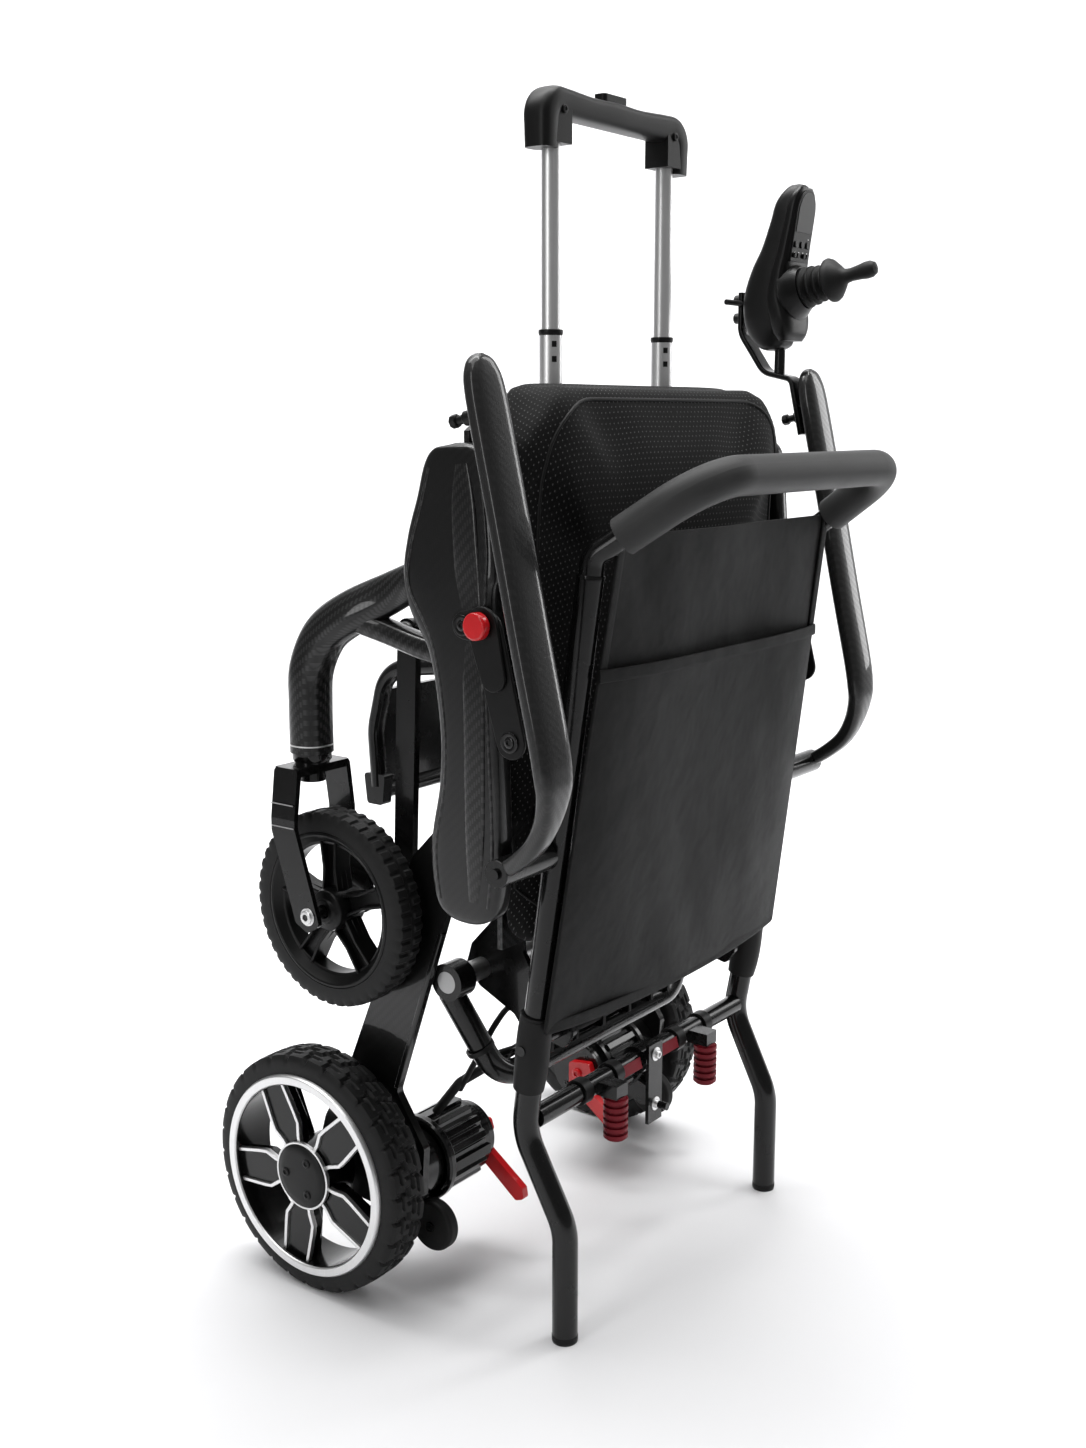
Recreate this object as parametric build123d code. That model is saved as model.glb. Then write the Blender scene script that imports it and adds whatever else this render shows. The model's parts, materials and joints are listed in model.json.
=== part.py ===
from build123d import *
from math import cos, radians, sin
import os

# Folding power wheelchair, stored folded: it stands on its two drive wheels and its two rear legs.
# X runs across the chair (+X is the user's right), +Y points to the chair's front, +Z is up.
# Every place below is given as (y, z) on the side view or (x, y, z), in millimetres, before
# the whole model is moved by -Y_MIDDLE so that its origin is under the middle of its box.

# ---------------------------------------------------------------- driving dimensions
Y_MIDDLE = 117.0            # half way between the push bar and the folded footplate

WHEEL_RADIUS = 127.0        # 10 inch drive wheel
TYRE_DEPTH = 20.0
TYRE_WIDTH = 55.0
WHEEL_X = 259.5
AXLE = (266.0, 127.0)
MOTOR_AXIS = (195.0, 128.0)
RIM_ARMS = 5

CASTER_RADIUS = 100.0       # 8 inch caster
CASTER_WIDTH = 40.0
CASTER_X = 250.0
CASTER_AXLE = (239.0, 411.0)
SWIVEL_Y = 270.0
STEM_BOTTOM = 566.0

PLATE_IN, PLATE_OUT = 216.0, 225.0      # link plates
SEAT_PIVOT = (128.0, 345.0)             # seat frame turns here
BACK_PIVOT = (30.0, 300.0)              # back frame turns here
ARM_PIVOT = (112.0, 735.0)              # front arms turn here
LINK_LOW = (191.0, 300.0)               # lower link, parallel to SEAT_PIVOT -> ARM_PIVOT
LINK_HIGH = (LINK_LOW[0] + ARM_PIVOT[0] - SEAT_PIVOT[0], LINK_LOW[1] + ARM_PIVOT[1] - SEAT_PIVOT[1])
PIN = 5.0
RUNNING = 0.05                          # radial clearance of a pin in its bore

SHELL_IN, SHELL_OUT = 245.0, 270.0      # seat side shells
FRAME_X = 206.0                         # back tubes
TUBE_RADIUS = 12.7
TUBE_TOP = (-36.0, 755.0)
TUBE_LOW = (28.0, 300.0)
LEG_FOOT = (199.0, -5.0)
CROSS_TUBE = (37.0, 220.0)
SPRING_X, SPRING_Y = 88.0, 12.0

HANDLE_X, HANDLE_Y = 98.0, 88.0         # pull handle rods
SLEEVE_TOP = 972.0
GRIP_BOTTOM, GRIP_TOP = 1158.0, 1192.0

ARMREST_X, ARMREST_WIDTH = 294.0, 44.0
ARMREST_TOP = (20.0, 928.0)
ARMREST_BEND = (-54.0, 600.0)
ARMREST_PIVOT = (0.0, 497.0)
STICK_BASE = (285.0, 29.0, 1030.0)
STICK_TILT = 12.0
SLOPE = 0.145                           # lean of the controller's face


# ---------------------------------------------------------------- helpers
def side_plate(points, x_low, x_high, corner=0.0, holes=()):
    """A flat plate drawn on the side view and pulled along X, with (y, z, radius) holes."""
    face = make_face(Polyline(*points, close=True))
    if corner:
        face = fillet(face.vertices(), corner)
    for y, z, radius in holes:
        face -= Pos(y, z) * Circle(radius)
    return extrude(Plane.YZ.offset(x_low) * face, x_high - x_low)


def bar_x(centre, x_low, x_high, radius):
    """A round bar along X through (y, z)."""
    bar = Cylinder(radius, x_high - x_low, align=(Align.CENTER, Align.CENTER, Align.MIN))
    return Pos(x_low, *centre) * Rot(0, 90, 0) * bar


def bent(points, bends, section):
    """A section swept along straight runs joined by arcs."""
    path = FilletPolyline(*points, radius=bends) if bends else Polyline(*points)
    start = Plane(origin=path @ 0, x_dir=(1, 0, 0), z_dir=path % 0)
    if abs((path % 0).X) > 0.9:
        start = Plane(origin=path @ 0, x_dir=(0, 1, 0), z_dir=path % 0)
    return sweep(start * section, path=path)


def ring(outer, inner):
    return Circle(outer) - Circle(inner)


def other_side(shape):
    """The same piece on the user's left."""
    return mirror(shape, about=Plane.YZ)


def pair(shape):
    """Both sides as one node of two solids."""
    return Compound(children=[*shape.solids(), *other_side(shape).solids()])


def on_wheel(shape, centre_x, centre):
    """Turns a wheel drawn about Z to lie on the X axis at (y, z)."""
    return Pos(centre_x, *centre) * Rot(0, 90, 0) * shape


# ---------------------------------------------------------------- drive side
def drive_tyre():
    section = Pos(WHEEL_RADIUS - TYRE_DEPTH / 2, 0) * RectangleRounded(TYRE_DEPTH, TYRE_WIDTH, 8)
    return on_wheel(revolve(Plane.XZ * section, Axis.Z), WHEEL_X, AXLE)


def drive_rim():
    bead = WHEEL_RADIUS - TYRE_DEPTH - 0.1
    barrel = Pos(0, 0, -22) * extrude(ring(bead, bead - 11), 49)
    hub = Pos(0, 0, -18) * extrude(Circle(34), 42)
    edge = [(28, 11), (40, 12.5), (52, 18.5), (62, 18.5), (100, 16)]
    arm = make_face(Polyline(*[(x, -y) for x, y in edge], *edge[::-1], close=True))
    rim = barrel + hub
    for n in range(RIM_ARMS):
        rim += Rot(0, 0, 45 + n * 360 / RIM_ARMS) * Pos(0, 0, 8) * extrude(arm, 12)
    rim += Pos(0, 0, -60) * Cylinder(8, 50, align=(Align.CENTER, Align.CENTER, Align.MIN))
    return on_wheel(rim, WHEEL_X, AXLE)


def link_plate():
    outline = [(304, 118), (290, 165), (252, 235), (212, 330), (190, 400), (162, 470), (130, 503),
               (92, 497), (125, 400), (188, 218), (152, 165), (156, 108), (190, 84), (282, 88)]
    plate = side_plate(outline, PLATE_IN, PLATE_OUT, 10, [(*AXLE, 11)])
    return plate + bar_x(LINK_LOW, 203, PLATE_IN, PIN)


def motor():
    """Gearbox against the link plate, finned motor and brake cap inboard of it."""
    axle_case = bar_x(AXLE, 186, PLATE_IN - 0.2, 30)
    motor_case = bar_x(MOTOR_AXIS, 186, PLATE_IN - 0.2, 36)
    bridge = side_plate([(195, 100), (266, 100), (266, 155), (195, 158)], 186, PLATE_IN - 0.2)
    can = bar_x(MOTOR_AXIS, 114, 186, 40)
    cap = bar_x(MOTOR_AXIS, 100, 114, 34)
    fins = side_plate([(190, 83), (200, 83), (200, 173), (190, 173)], 120, 180)
    fins += side_plate([(150, 123), (240, 123), (240, 133), (150, 133)], 120, 180)
    shaft_bore = bar_x(AXLE, 190, PLATE_IN, 8 + RUNNING)
    return axle_case + motor_case + bridge + can + cap + fins - shaft_bore


def freewheel_lever():
    handle = [(200, 142), (172, 146), (168, 134), (181, 120), (124, 80), (122, 68), (133, 64), (200, 114)]
    return side_plate(handle, 91, 99.6, 4)


def anti_tip_arm():
    plate = side_plate([(212, 97), (180, 99), (146, 86), (146, 66), (162, 63), (206, 84)], 188, 196, 5)
    plate -= bar_x(MOTOR_AXIS, 186, PLATE_IN, 36.1)
    return plate + bar_x((156, 75), 196, 215, PIN)


def anti_tip_wheel():
    wheel = extrude(Circle(27) - Circle(PIN + RUNNING), 15)
    wheel = fillet(wheel.edges().filter_by(GeomType.CIRCLE).sort_by(SortBy.RADIUS)[-2:], 4)
    return on_wheel(wheel, 198, (156, 75))


def seat_pivot_tube():
    return bar_x(SEAT_PIVOT, -PLATE_IN + 0.2, PLATE_IN - 0.2, 11)


def axle_frame():
    """U-shaped tube between the link plates, with a collar round each end of the pivot tube."""
    route = [(202, 134, 330), (168, 100, 235), (-168, 100, 235), (-202, 134, 330)]
    tube = bent(route, [45, 45], Circle(13))
    collar = bar_x(SEAT_PIVOT, 192, PLATE_IN - 0.2, 19)
    hole = bar_x(SEAT_PIVOT, -220, 220, 11.1)
    return tube + collar + other_side(collar) - hole


def cable_loom():
    """Motor cables, tied along the top of the axle tube."""
    half = [(166, 186, 176), (161, 158, 214), (142, 124, 240), (75, 115, 252)]
    route = half + [(-x, y, z) for x, y, z in reversed(half)]
    return bent(route, [14, 24, 50, 50, 24, 14], Circle(5))


# ---------------------------------------------------------------- seat
def seat_side_shell():
    outline = [(30, 869), (104, 869), (118, 800), (132, 770), (132, 728), (98, 690), (85, 600),
               (102, 500), (98, 428), (24, 428), (18, 500), (24, 700)]
    shell = side_plate(outline, SHELL_IN, SHELL_OUT, 13)
    shell = fillet(shell.edges().filter_by(Plane.YZ).group_by(Axis.X)[-1], 5)
    return shell + bar_x(ARM_PIVOT, 209, SHELL_IN, PIN + 1)


def seat_base():
    outline = Polyline((-200, 386), (200, 386), (200, 505), (244, 530), (244, 880), (200, 905),
                       (-200, 905), (-244, 880), (-244, 530), (-200, 505), close=True)
    return Pos(0, 76, 0) * extrude(Plane.XZ * make_face(outline), 6)


def seat_cushion():
    """Padded seat, a little thicker at the front edge (the top, as folded)."""
    side = side_plate([(69.5, 384), (69.5, 934), (3, 934), (38, 384)], -242, 242, 12)
    half = [(0, 384), (186, 384), (212, 410), (212, 496), (242, 520), (242, 880), (232, 908),
            (212, 926), (182, 934), (0, 934)]
    front = Polyline(*half, *[(-x, z) for x, z in half[-2:0:-1]], close=True)
    corners = [corner for corner in make_face(front).vertices() if abs(corner.X) > 1]
    front = fillet(corners, 10)
    return side & (Pos(0, 80, 0) * extrude(Plane.XZ * front, 90))


def seat_hinge_bracket():
    outline = [(14, 300), (26, 283), (52, 288), (132, 325), (149, 345), (142, 368), (108, 405),
               (102, 478), (77, 478), (77, 372), (48, 322), (20, 316)]
    holes = [(*SEAT_PIVOT, 11 + RUNNING)]
    return side_plate(outline, 153, 159, 5, holes) + bar_x(BACK_PIVOT, 159, 224, PIN)


def battery_pack():
    case = Box(160, 46, 210)
    case = fillet(case.edges(), 6)
    return Pos(0, 100, 555) * case


def handle_sleeve():
    sleeve = Pos(HANDLE_X, HANDLE_Y, 545) * extrude(ring(11, 9.1), SLEEVE_TOP - 545)
    return sleeve


def lock_plate():
    outline = [(46, 722), (40, 732), (22, 732), (14, 716), (-13, 612), (-6, 596), (10, 596), (18, 606)]
    base = side_plate(outline, SHELL_OUT + 0.3, SHELL_OUT + 4, 5)
    tongue = side_plate([(62, 702), (62, 720), (30, 731), (16, 700), (8, 668), (24, 664), (42, 698)],
                        SHELL_OUT + 4, SHELL_OUT + 7, 4)
    return base + tongue - bar_x((31, 712.5), SHELL_OUT, SHELL_OUT + 8, 10.1)


def lock_button():
    stem = bar_x((31, 712.5), SHELL_OUT + 3.5, SHELL_OUT + 11, 10)
    head = bar_x((31, 712.5), SHELL_OUT + 11, SHELL_OUT + 19, 12.5)
    return stem + fillet(head.edges().group_by(Axis.X)[-1], 2.5)


# ---------------------------------------------------------------- pull handle
def pull_rods():
    return pair(Pos(HANDLE_X, HANDLE_Y, 735) * extrude(Circle(9), GRIP_BOTTOM - 735))


def pull_grip():
    bar = Box(250, 30, 30)
    bar = fillet(bar.edges().filter_by(Axis.X), 12)
    leg = Pos(112, 0, -21) * fillet(Box(26, 29, 44).edges().filter_by(Axis.Z), 8)
    grip = Pos(0, HANDLE_Y, GRIP_TOP - 15) * (bar + leg + other_side(leg))
    for x in (-HANDLE_X, HANDLE_X):
        grip -= Pos(x, HANDLE_Y, GRIP_BOTTOM - 20) * Cylinder(9.1, 40)
    return grip - Pos(0, HANDLE_Y, GRIP_TOP) * Box(41, 15, 20)


def grip_button():
    return Pos(0, HANDLE_Y, GRIP_TOP + 0.5) * fillet(Box(40, 14, 12).edges().filter_by(Axis.Z), 4)


# ---------------------------------------------------------------- front arms and casters
def front_arm():
    """Carbon tube from the caster stem, ending in a forked web that turns on the side shell."""
    stem = [(CASTER_X, SWIVEL_Y, STEM_BOTTOM), (CASTER_X, SWIVEL_Y, 648), (236, 202, 700)]
    tube = bent(stem, [42], Circle(21))
    web = [(226, 702), (208, 722), (140, 762), (112, 764), (98, 752), (94, 735), (104, 712), (104, 668),
           (116, 660), (176, 672), (214, 672)]
    window = side_plate([(124, 712), (150, 732), (164, 706), (130, 690)], 210, 250, 3)
    arm = tube + side_plate(web, 216, 243, 6, [(*ARM_PIVOT, PIN + 1 + RUNNING)]) - window
    arm += bar_x(LINK_HIGH, 204, 216, PIN)
    return arm - Pos(CASTER_X, SWIVEL_Y, STEM_BOTTOM + 27) * Cylinder(10 + RUNNING, 56)


def footrest_hanger():
    """Tube between the arms, with the two hanger tubes that carry the footplate."""
    cross = bar_x((142, 742), -215.8, 215.8, 9)
    route = [(105, 146, 740), (105, 205, 640), (105, 300, 628), (105, 318, 560), (105, 314, 498)]
    hanger = bent(route, [30, 40, 60], Circle(9))
    ears = side_plate([(300, 512), (330, 512), (326, 478), (304, 478)], 98, 112, 4)
    hanger = hanger + ears - bar_x((315, 490), 97, 106, PIN + RUNNING)
    return cross + hanger + other_side(hanger)


def footplate():
    plate = Pos(0, 321, 548) * fillet(Box(186, 8, 106).edges().filter_by(Axis.Y), 12)
    barrel = bar_x((315, 490), -105.5, 105.5, PIN) + bar_x((315, 490), -93, 93, 8)
    return plate + barrel


def lower_link():
    bar = side_plate([(179, 300), (203, 300), (187, 690), (163, 690)], 205, 213)
    bar += bar_x(LINK_LOW, 205, 213, 12) + bar_x(LINK_HIGH, 205, 213, 12)
    return bar - bar_x(LINK_LOW, 200, 220, PIN + RUNNING) - bar_x(LINK_HIGH, 200, 220, PIN + 0.5)


def caster_fork():
    leg = [(254, 555), (286, 555), (286, 492), (256, 402), (240, 394), (224, 404), (254, 496)]
    fork = side_plate(leg, CASTER_X - 43, CASTER_X + 43, 5)
    splay = Polyline((30, 560), (36, 560), (43, 505), (43, 390), (38, 390), (38, 503), close=True)
    spread = extrude(Plane.XZ * make_face(splay), 80, both=True)
    legs = Pos(CASTER_X, SWIVEL_Y, 0) * (spread + other_side(spread))
    fork = fork & legs
    fork += Pos(CASTER_X, SWIVEL_Y, 551) * Box(70, 32, 8)
    fork += Pos(CASTER_X, SWIVEL_Y, 542) * Cylinder(13, 10)
    fork += Pos(CASTER_X, SWIVEL_Y, 560) * Cylinder(17, 11)
    fork += Pos(CASTER_X, SWIVEL_Y, 590) * Cylinder(10, 50)
    return fork + bar_x(CASTER_AXLE, CASTER_X - 46, CASTER_X + 46, PIN + 1)


def caster_tyre():
    section = Pos(CASTER_RADIUS - 10, 0) * RectangleRounded(20, CASTER_WIDTH, 9.5)
    return on_wheel(revolve(Plane.XZ * section, Axis.Z), CASTER_X, CASTER_AXLE)


def caster_rim():
    rim = Pos(0, 0, -16) * extrude(ring(79.9, 66), 32)
    rim += Pos(0, 0, -22) * extrude(Circle(19), 44)
    for n in range(5):
        rim += Rot(0, 0, 20 + n * 72) * Pos(43, 0, 0) * Box(52, 17, 20)
    rim -= Cylinder(PIN + 1 + RUNNING, 60)
    return on_wheel(rim, CASTER_X, CASTER_AXLE)


# ---------------------------------------------------------------- back frame
def back_tube():
    tube = bent([(FRAME_X, *TUBE_TOP), (FRAME_X, *TUBE_LOW)], None, ring(TUBE_RADIUS, 10.9))
    tube += bar_x(ARMREST_PIVOT, FRAME_X + 11.5, ARMREST_X + 7, PIN)
    return tube - bar_x(BACK_PIVOT, 180, 230, PIN + RUNNING)


LEG_ROUTE = [(FRAME_X, 29, 292), (202, 42, 208), (LEG_FOOT[0], LEG_FOOT[1], 118), (*LEG_FOOT, 0)]


def leg():
    return bent(LEG_ROUTE, [60, 60], Circle(TUBE_RADIUS))


def hinge_sleeve():
    """Rubber sleeve over the joint of back tube and leg."""
    direction = Vector(0, TUBE_TOP[0] - TUBE_LOW[0], TUBE_TOP[1] - TUBE_LOW[1]).normalized()
    low = Vector(FRAME_X, *TUBE_LOW) - direction * 3
    sleeve = extrude(Plane(origin=low, z_dir=direction) * ring(16, TUBE_RADIUS + 0.2), 34)
    return sleeve - bar_x(BACK_PIVOT, 180, 230, PIN + RUNNING)


def push_bar_route():
    half = [(FRAME_X, -36.2, 755.5), (FRAME_X, -38.5, 772), (180, -141, 842)]
    return half + [(-x, y, z) for x, y, z in reversed(half)]


def push_bar():
    return bent(push_bar_route(), [18, 60, 60, 18], ring(11.5, 9.7))


def push_bar_foam():
    half = [(199.3, -65, 790.1), (180, -141, 842)]
    route = half + [(-x, y, z) for x, y, z in reversed(half)]
    return bent(route, [60, 60], ring(18, 11.7))


def back_fabric():
    outline = Polyline((-214, 318), (214, 318), (195, 735), (180, 776), (-180, 776), (-195, 735), close=True)
    panel = Pos(0, -20, 0) * extrude(Plane.XZ * fillet(make_face(outline).vertices(), 14), 5)
    return Pos(0, 28, 300) * Rot(8.0, 0, 0) * Pos(0, 0, -300) * panel


def leg_cross_tube():
    """Tube between the legs, with the two black blocks that hold the bump springs."""
    tube = bar_x(CROSS_TUBE, -191.5, 191.5, 11)
    for x in (-SPRING_X, SPRING_X):
        tube += Pos(x, 19, 219) * Box(20, 30, 14)
    saddle = bent(LEG_ROUTE, [60, 60], Circle(TUBE_RADIUS + 0.1))
    return tube - saddle - other_side(saddle)


def bump_spring():
    """Ribbed bump spring that lands on the axle frame."""
    spring = Pos(SPRING_X, SPRING_Y, 189) * Cylinder(10, 46)
    for n in range(6):
        spring += Pos(SPRING_X, SPRING_Y, 170.5 + n * 7.5) * Cylinder(12.8, 4)
    return spring


def latch_bracket():
    strap = Pos(0, 22.6, 194) * Box(26, 4, 88)
    clamp = bar_x(CROSS_TUBE, -16, 16, 15) - bar_x(CROSS_TUBE, -17, 17, 11.1)
    bolt = Pos(0, 16, 170) * Rot(90, 0, 0) * Cylinder(4, 22)
    return strap + clamp + bolt


# ---------------------------------------------------------------- armrests and controller
def armrest_normal(distance):
    """Step square to the armrest's straight part, towards its padded face."""
    along = Vector(ARMREST_BEND[0] - ARMREST_TOP[0], ARMREST_BEND[1] - ARMREST_TOP[1]).normalized()
    return along.Y * distance, -along.X * distance


def armrest_bar():
    route = [(ARMREST_X, *ARMREST_TOP), (ARMREST_X, *ARMREST_BEND), (ARMREST_X, -42, 535),
             (ARMREST_X, *ARMREST_PIVOT)]
    bar = bent(route, [45, 30], RectangleRounded(ARMREST_WIDTH, 9.5, 3))
    boss = bar_x(ARMREST_PIVOT, 222, ARMREST_X + 10, 13)
    return bar + boss - bar_x(ARMREST_PIVOT, 215, ARMREST_X + 7.4, PIN + RUNNING)


def armrest_pad():
    dy, dz = armrest_normal(10.2)
    top = (ARMREST_X, ARMREST_TOP[0] + dy + 3, ARMREST_TOP[1] + dz + 12)
    low = (ARMREST_X, ARMREST_BEND[0] + dy + 1.5, ARMREST_BEND[1] + dz + 8)
    return bent([top, low], None, RectangleRounded(ARMREST_WIDTH, 10, 4))


def controller_bracket():
    """Bent strap from the armrest to the back of the controller, with a short post."""
    route = [(286, 16.6, 872), (286, 30.5, 933), (286, 66, 941), (286, 97, 985), (286, 97, 1030)]
    strap = bent(route, [9, 22, 28], RectangleRounded(22, 6, 2))
    return strap + Pos(286, 50, 951) * Cylinder(6, 30)


def face_y(z):
    """Y of the controller's front face at height z."""
    return 18 + (1142 - z) * SLOPE


def controller_shell():
    outline = [(face_y(1142), 1142), (44, 1132), (58, 1112), (70, 1062), (89, 1018), (87, 985),
               (72, 971), (44, 967), (face_y(972) - 10, 972), (face_y(1000), 1000)]
    body = side_plate(outline, 254, 316, 5)
    arch = Polyline((262, 960), (254, 1000), (258, 1100), (266, 1128), (285, 1143), (304, 1128),
                    (312, 1100), (316, 1000), (308, 960), close=True)
    arch = fillet(make_face(arch).vertices(), 9)
    body &= Pos(0, 100, 0) * extrude(Plane.XZ * arch, 100)
    seat = stick_frame(-18) * Cylinder(24.3, 38, align=(Align.CENTER, Align.CENTER, Align.MIN))
    for x, z in KEYS:
        body -= Pos(x, face_y(z), z) * Box(7.8, 10, 7.8)
    return body - seat


def stick_frame(depth):
    """Plane on the joystick's axis, depth in front of its centre, looking out of the box."""
    out = Vector(0, -cos(radians(STICK_TILT)), sin(radians(STICK_TILT)))
    return Plane(origin=Vector(*STICK_BASE) + out * depth, x_dir=(1, 0, 0), z_dir=out)


def joystick_gimbal():
    """Ring of the joystick's cross joint, inside the housing."""
    return stick_frame(-10) * extrude(ring(21.2, 19), 8)


def joystick_stick():
    """Stick with its ribbed boot, cap and knob; the ball turns inside the gimbal ring."""
    steps = [(-8, 17, 16), (8, 22, 10), (18, 18, 7), (25, 21, 6), (31, 16, 7), (38, 23, 12), (50, 12, 6), (56, 8, 34)]
    stick = None
    for depth, radius, length in steps:
        step = stick_frame(depth) * extrude(Circle(radius), length)
        stick = step if stick is None else stick + step
    return stick


KEYS = [(272, 1078), (285, 1078), (298, 1078)]


def key(x, z):
    return Pos(x, face_y(z) - 0.3, z) * fillet(Box(6.8, 5, 6.8).edges().filter_by(Axis.Y), 1.5)


# ---------------------------------------------------------------- nodes
def build():
    nodes = {
        "seat_pivot_tube": seat_pivot_tube(),
        "axle_frame": axle_frame(),
        "anti_tip_arms": pair(anti_tip_arm()),
        "cable_loom": cable_loom(),
        "seat_base": seat_base(),
        "seat_cushion": seat_cushion(),
        "seat_hinge_brackets": pair(seat_hinge_bracket()),
        "battery_pack": battery_pack(),
        "handle_sleeves": pair(handle_sleeve()),
        "lock_plates": pair(lock_plate()),
        "pull_rods": pull_rods(),
        "pull_grip": pull_grip(),
        "grip_button": grip_button(),
        "footrest_hanger": footrest_hanger(),
        "footplate": footplate(),
        "lower_links": pair(lower_link()),
        "back_tubes": pair(back_tube()),
        "legs": pair(leg()),
        "hinge_sleeves": pair(hinge_sleeve()),
        "leg_cross_tube": leg_cross_tube(),
        "push_bar": push_bar(),
        "push_bar_foam": push_bar_foam(),
        "back_fabric": back_fabric(),
        "bump_springs": pair(bump_spring()),
        "latch_bracket": latch_bracket(),
        "controller_bracket": controller_bracket(),
        "controller_shell": controller_shell(),
        "joystick_gimbal": joystick_gimbal(),
        "joystick_stick": joystick_stick(),
    }
    for name, (x, z) in zip(("key_slower", "key_power", "key_faster"), KEYS):
        nodes[name] = key(x, z)
    both_sides = {
        "drive_tyre": drive_tyre, "drive_rim": drive_rim, "link_plate": link_plate, "motor": motor,
        "freewheel_lever": freewheel_lever, "anti_tip_wheel": anti_tip_wheel,
        "seat_side_shell": seat_side_shell, "lock_button": lock_button, "front_arm": front_arm,
        "caster_fork": caster_fork, "caster_tyre": caster_tyre, "caster_rim": caster_rim,
        "armrest_bar": armrest_bar, "armrest_pad": armrest_pad,
    }
    for name, make in both_sides.items():
        right = make()
        nodes[name + "_right"] = right
        nodes[name + "_left"] = other_side(right)
    return nodes


os.makedirs("parts", exist_ok=True)
for name, shape in build().items():
    export_step(Pos(0, -Y_MIDDLE, 0) * shape, f"parts/{name}.step")
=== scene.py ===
# %% [markdown]
# # A folding power wheelchair, finished around its CAD frame
# The frame below holds every hard part where it really is. This lesson adds what CAD leaves out:
# tread, stitching, mesh cloth, clear-coated carbon, bright edges and screws. Nothing in the frame moves.

# %% Load the frame
import json
from math import ceil, cos, pi, sin, sqrt
import bmesh
import bpy
from mathutils import Matrix, Vector, noise
from mathutils.bvhtree import BVHTree


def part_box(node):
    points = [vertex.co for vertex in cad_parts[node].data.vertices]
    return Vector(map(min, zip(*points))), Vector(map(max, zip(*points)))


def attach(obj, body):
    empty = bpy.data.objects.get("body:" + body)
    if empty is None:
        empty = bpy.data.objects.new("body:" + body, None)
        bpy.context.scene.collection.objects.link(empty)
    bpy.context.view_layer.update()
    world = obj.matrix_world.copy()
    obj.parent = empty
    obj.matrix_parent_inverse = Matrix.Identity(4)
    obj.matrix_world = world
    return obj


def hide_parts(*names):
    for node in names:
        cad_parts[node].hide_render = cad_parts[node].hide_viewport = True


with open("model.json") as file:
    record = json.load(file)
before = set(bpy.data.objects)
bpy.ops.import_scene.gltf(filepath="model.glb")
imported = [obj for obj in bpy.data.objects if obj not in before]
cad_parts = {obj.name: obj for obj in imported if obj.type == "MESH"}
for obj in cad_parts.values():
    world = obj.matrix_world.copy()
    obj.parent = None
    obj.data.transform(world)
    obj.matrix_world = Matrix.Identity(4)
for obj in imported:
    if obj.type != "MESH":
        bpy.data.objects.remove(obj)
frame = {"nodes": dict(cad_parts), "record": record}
scene = bpy.context.scene
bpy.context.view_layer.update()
record = frame["record"]
JOINTS = {joint["name"]: joint for joint in record["behaviour"]["joints"]}
SLOT_OF = {part["node"]: part["material_slot"] for part in record["subparts"]}
print("CAD nodes:", len(frame["nodes"]), "joints:", len(JOINTS))

# %% [markdown]
# ## Places
# The chair was drawn in millimetres from a point on the floor between its rear feet. One measured
# corner of the legs gives that point in the frame, so every place below reads like a drawing.

# %% Places
MM = 0.001
LEG_RADIUS = 12.7
FOOT_Y = -5.0


def corners(node):
    low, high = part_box(node)
    return Vector(low), Vector(high)


REAR = corners("legs")[0].y + (LEG_RADIUS - FOOT_Y) * MM


def place(x, y, z):
    """A point of the drawing, in metres in the frame."""
    return Vector((x * MM, REAR + y * MM, z * MM))


def turned_at(joint):
    """The point that a joint turns about."""
    return Vector(JOINTS[joint]["pos_m"])


def linked(name, data):
    """A new object in the scene that holds data."""
    made = bpy.data.objects.new(name, data)
    scene.collection.objects.link(made)
    return made


SIDES = {"left": -1, "right": 1}
print("drawing origin is at y", round(REAR, 4))

# %% [markdown]
# ## The camera
# The chair is seen from behind and to its left, from about the height of the cushion's top edge. A
# fairly long lens keeps the near parts from looking swollen.

# %% Camera
EYE = place(-1364, -848, 893.5)
LOOK = Vector((0.7869, 0.5875, -0.1888)).normalized()
eye = linked("camera", bpy.data.cameras.new("camera"))
eye.data.sensor_fit = "VERTICAL"
eye.data.sensor_height = 36.0
eye.data.lens = 39.93
eye.location = EYE
eye.rotation_euler = LOOK.to_track_quat("-Z", "Y").to_euler()
scene.camera = eye
print("camera looks", [round(v, 3) for v in LOOK])


# %% [markdown]
# ## Shader maths as plain sums
# A material is a small formula. Wrapping a socket in a class with operators lets a formula be
# written as Python, and each operator adds its own Math node. One method makes any other node.

# %% A socket that takes part in sums
class Sum:
    def __init__(self, paint, socket):
        self.paint, self.socket = paint, socket

    def math(self, operation, *others):
        return self.paint.node("ShaderNodeMath", {"operation": operation}, dict(enumerate((self, *others))))

    def __add__(self, other):
        return self.math("ADD", other)

    __radd__ = __add__

    def __sub__(self, other):
        return self.math("SUBTRACT", other)

    def __rsub__(self, other):
        return (self * -1) + other

    def __mul__(self, other):
        return self.math("MULTIPLY", other)

    __rmul__ = __mul__

    def __truediv__(self, other):
        return self.math("DIVIDE", other)

    def __gt__(self, other):
        return self.math("GREATER_THAN", other)

    def __lt__(self, other):
        return self.math("LESS_THAN", other)

    def floor(self):
        return self.math("FLOOR")

    def fract(self):
        return self.math("FRACT")

    def wave(self):
        return self.math("SINE")

    def size(self):
        return self.math("ABSOLUTE")

    def wrapped(self, length):
        return self.math("FLOORED_MODULO", length)


# %% A material and its node maker
PAINTS = []


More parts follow.
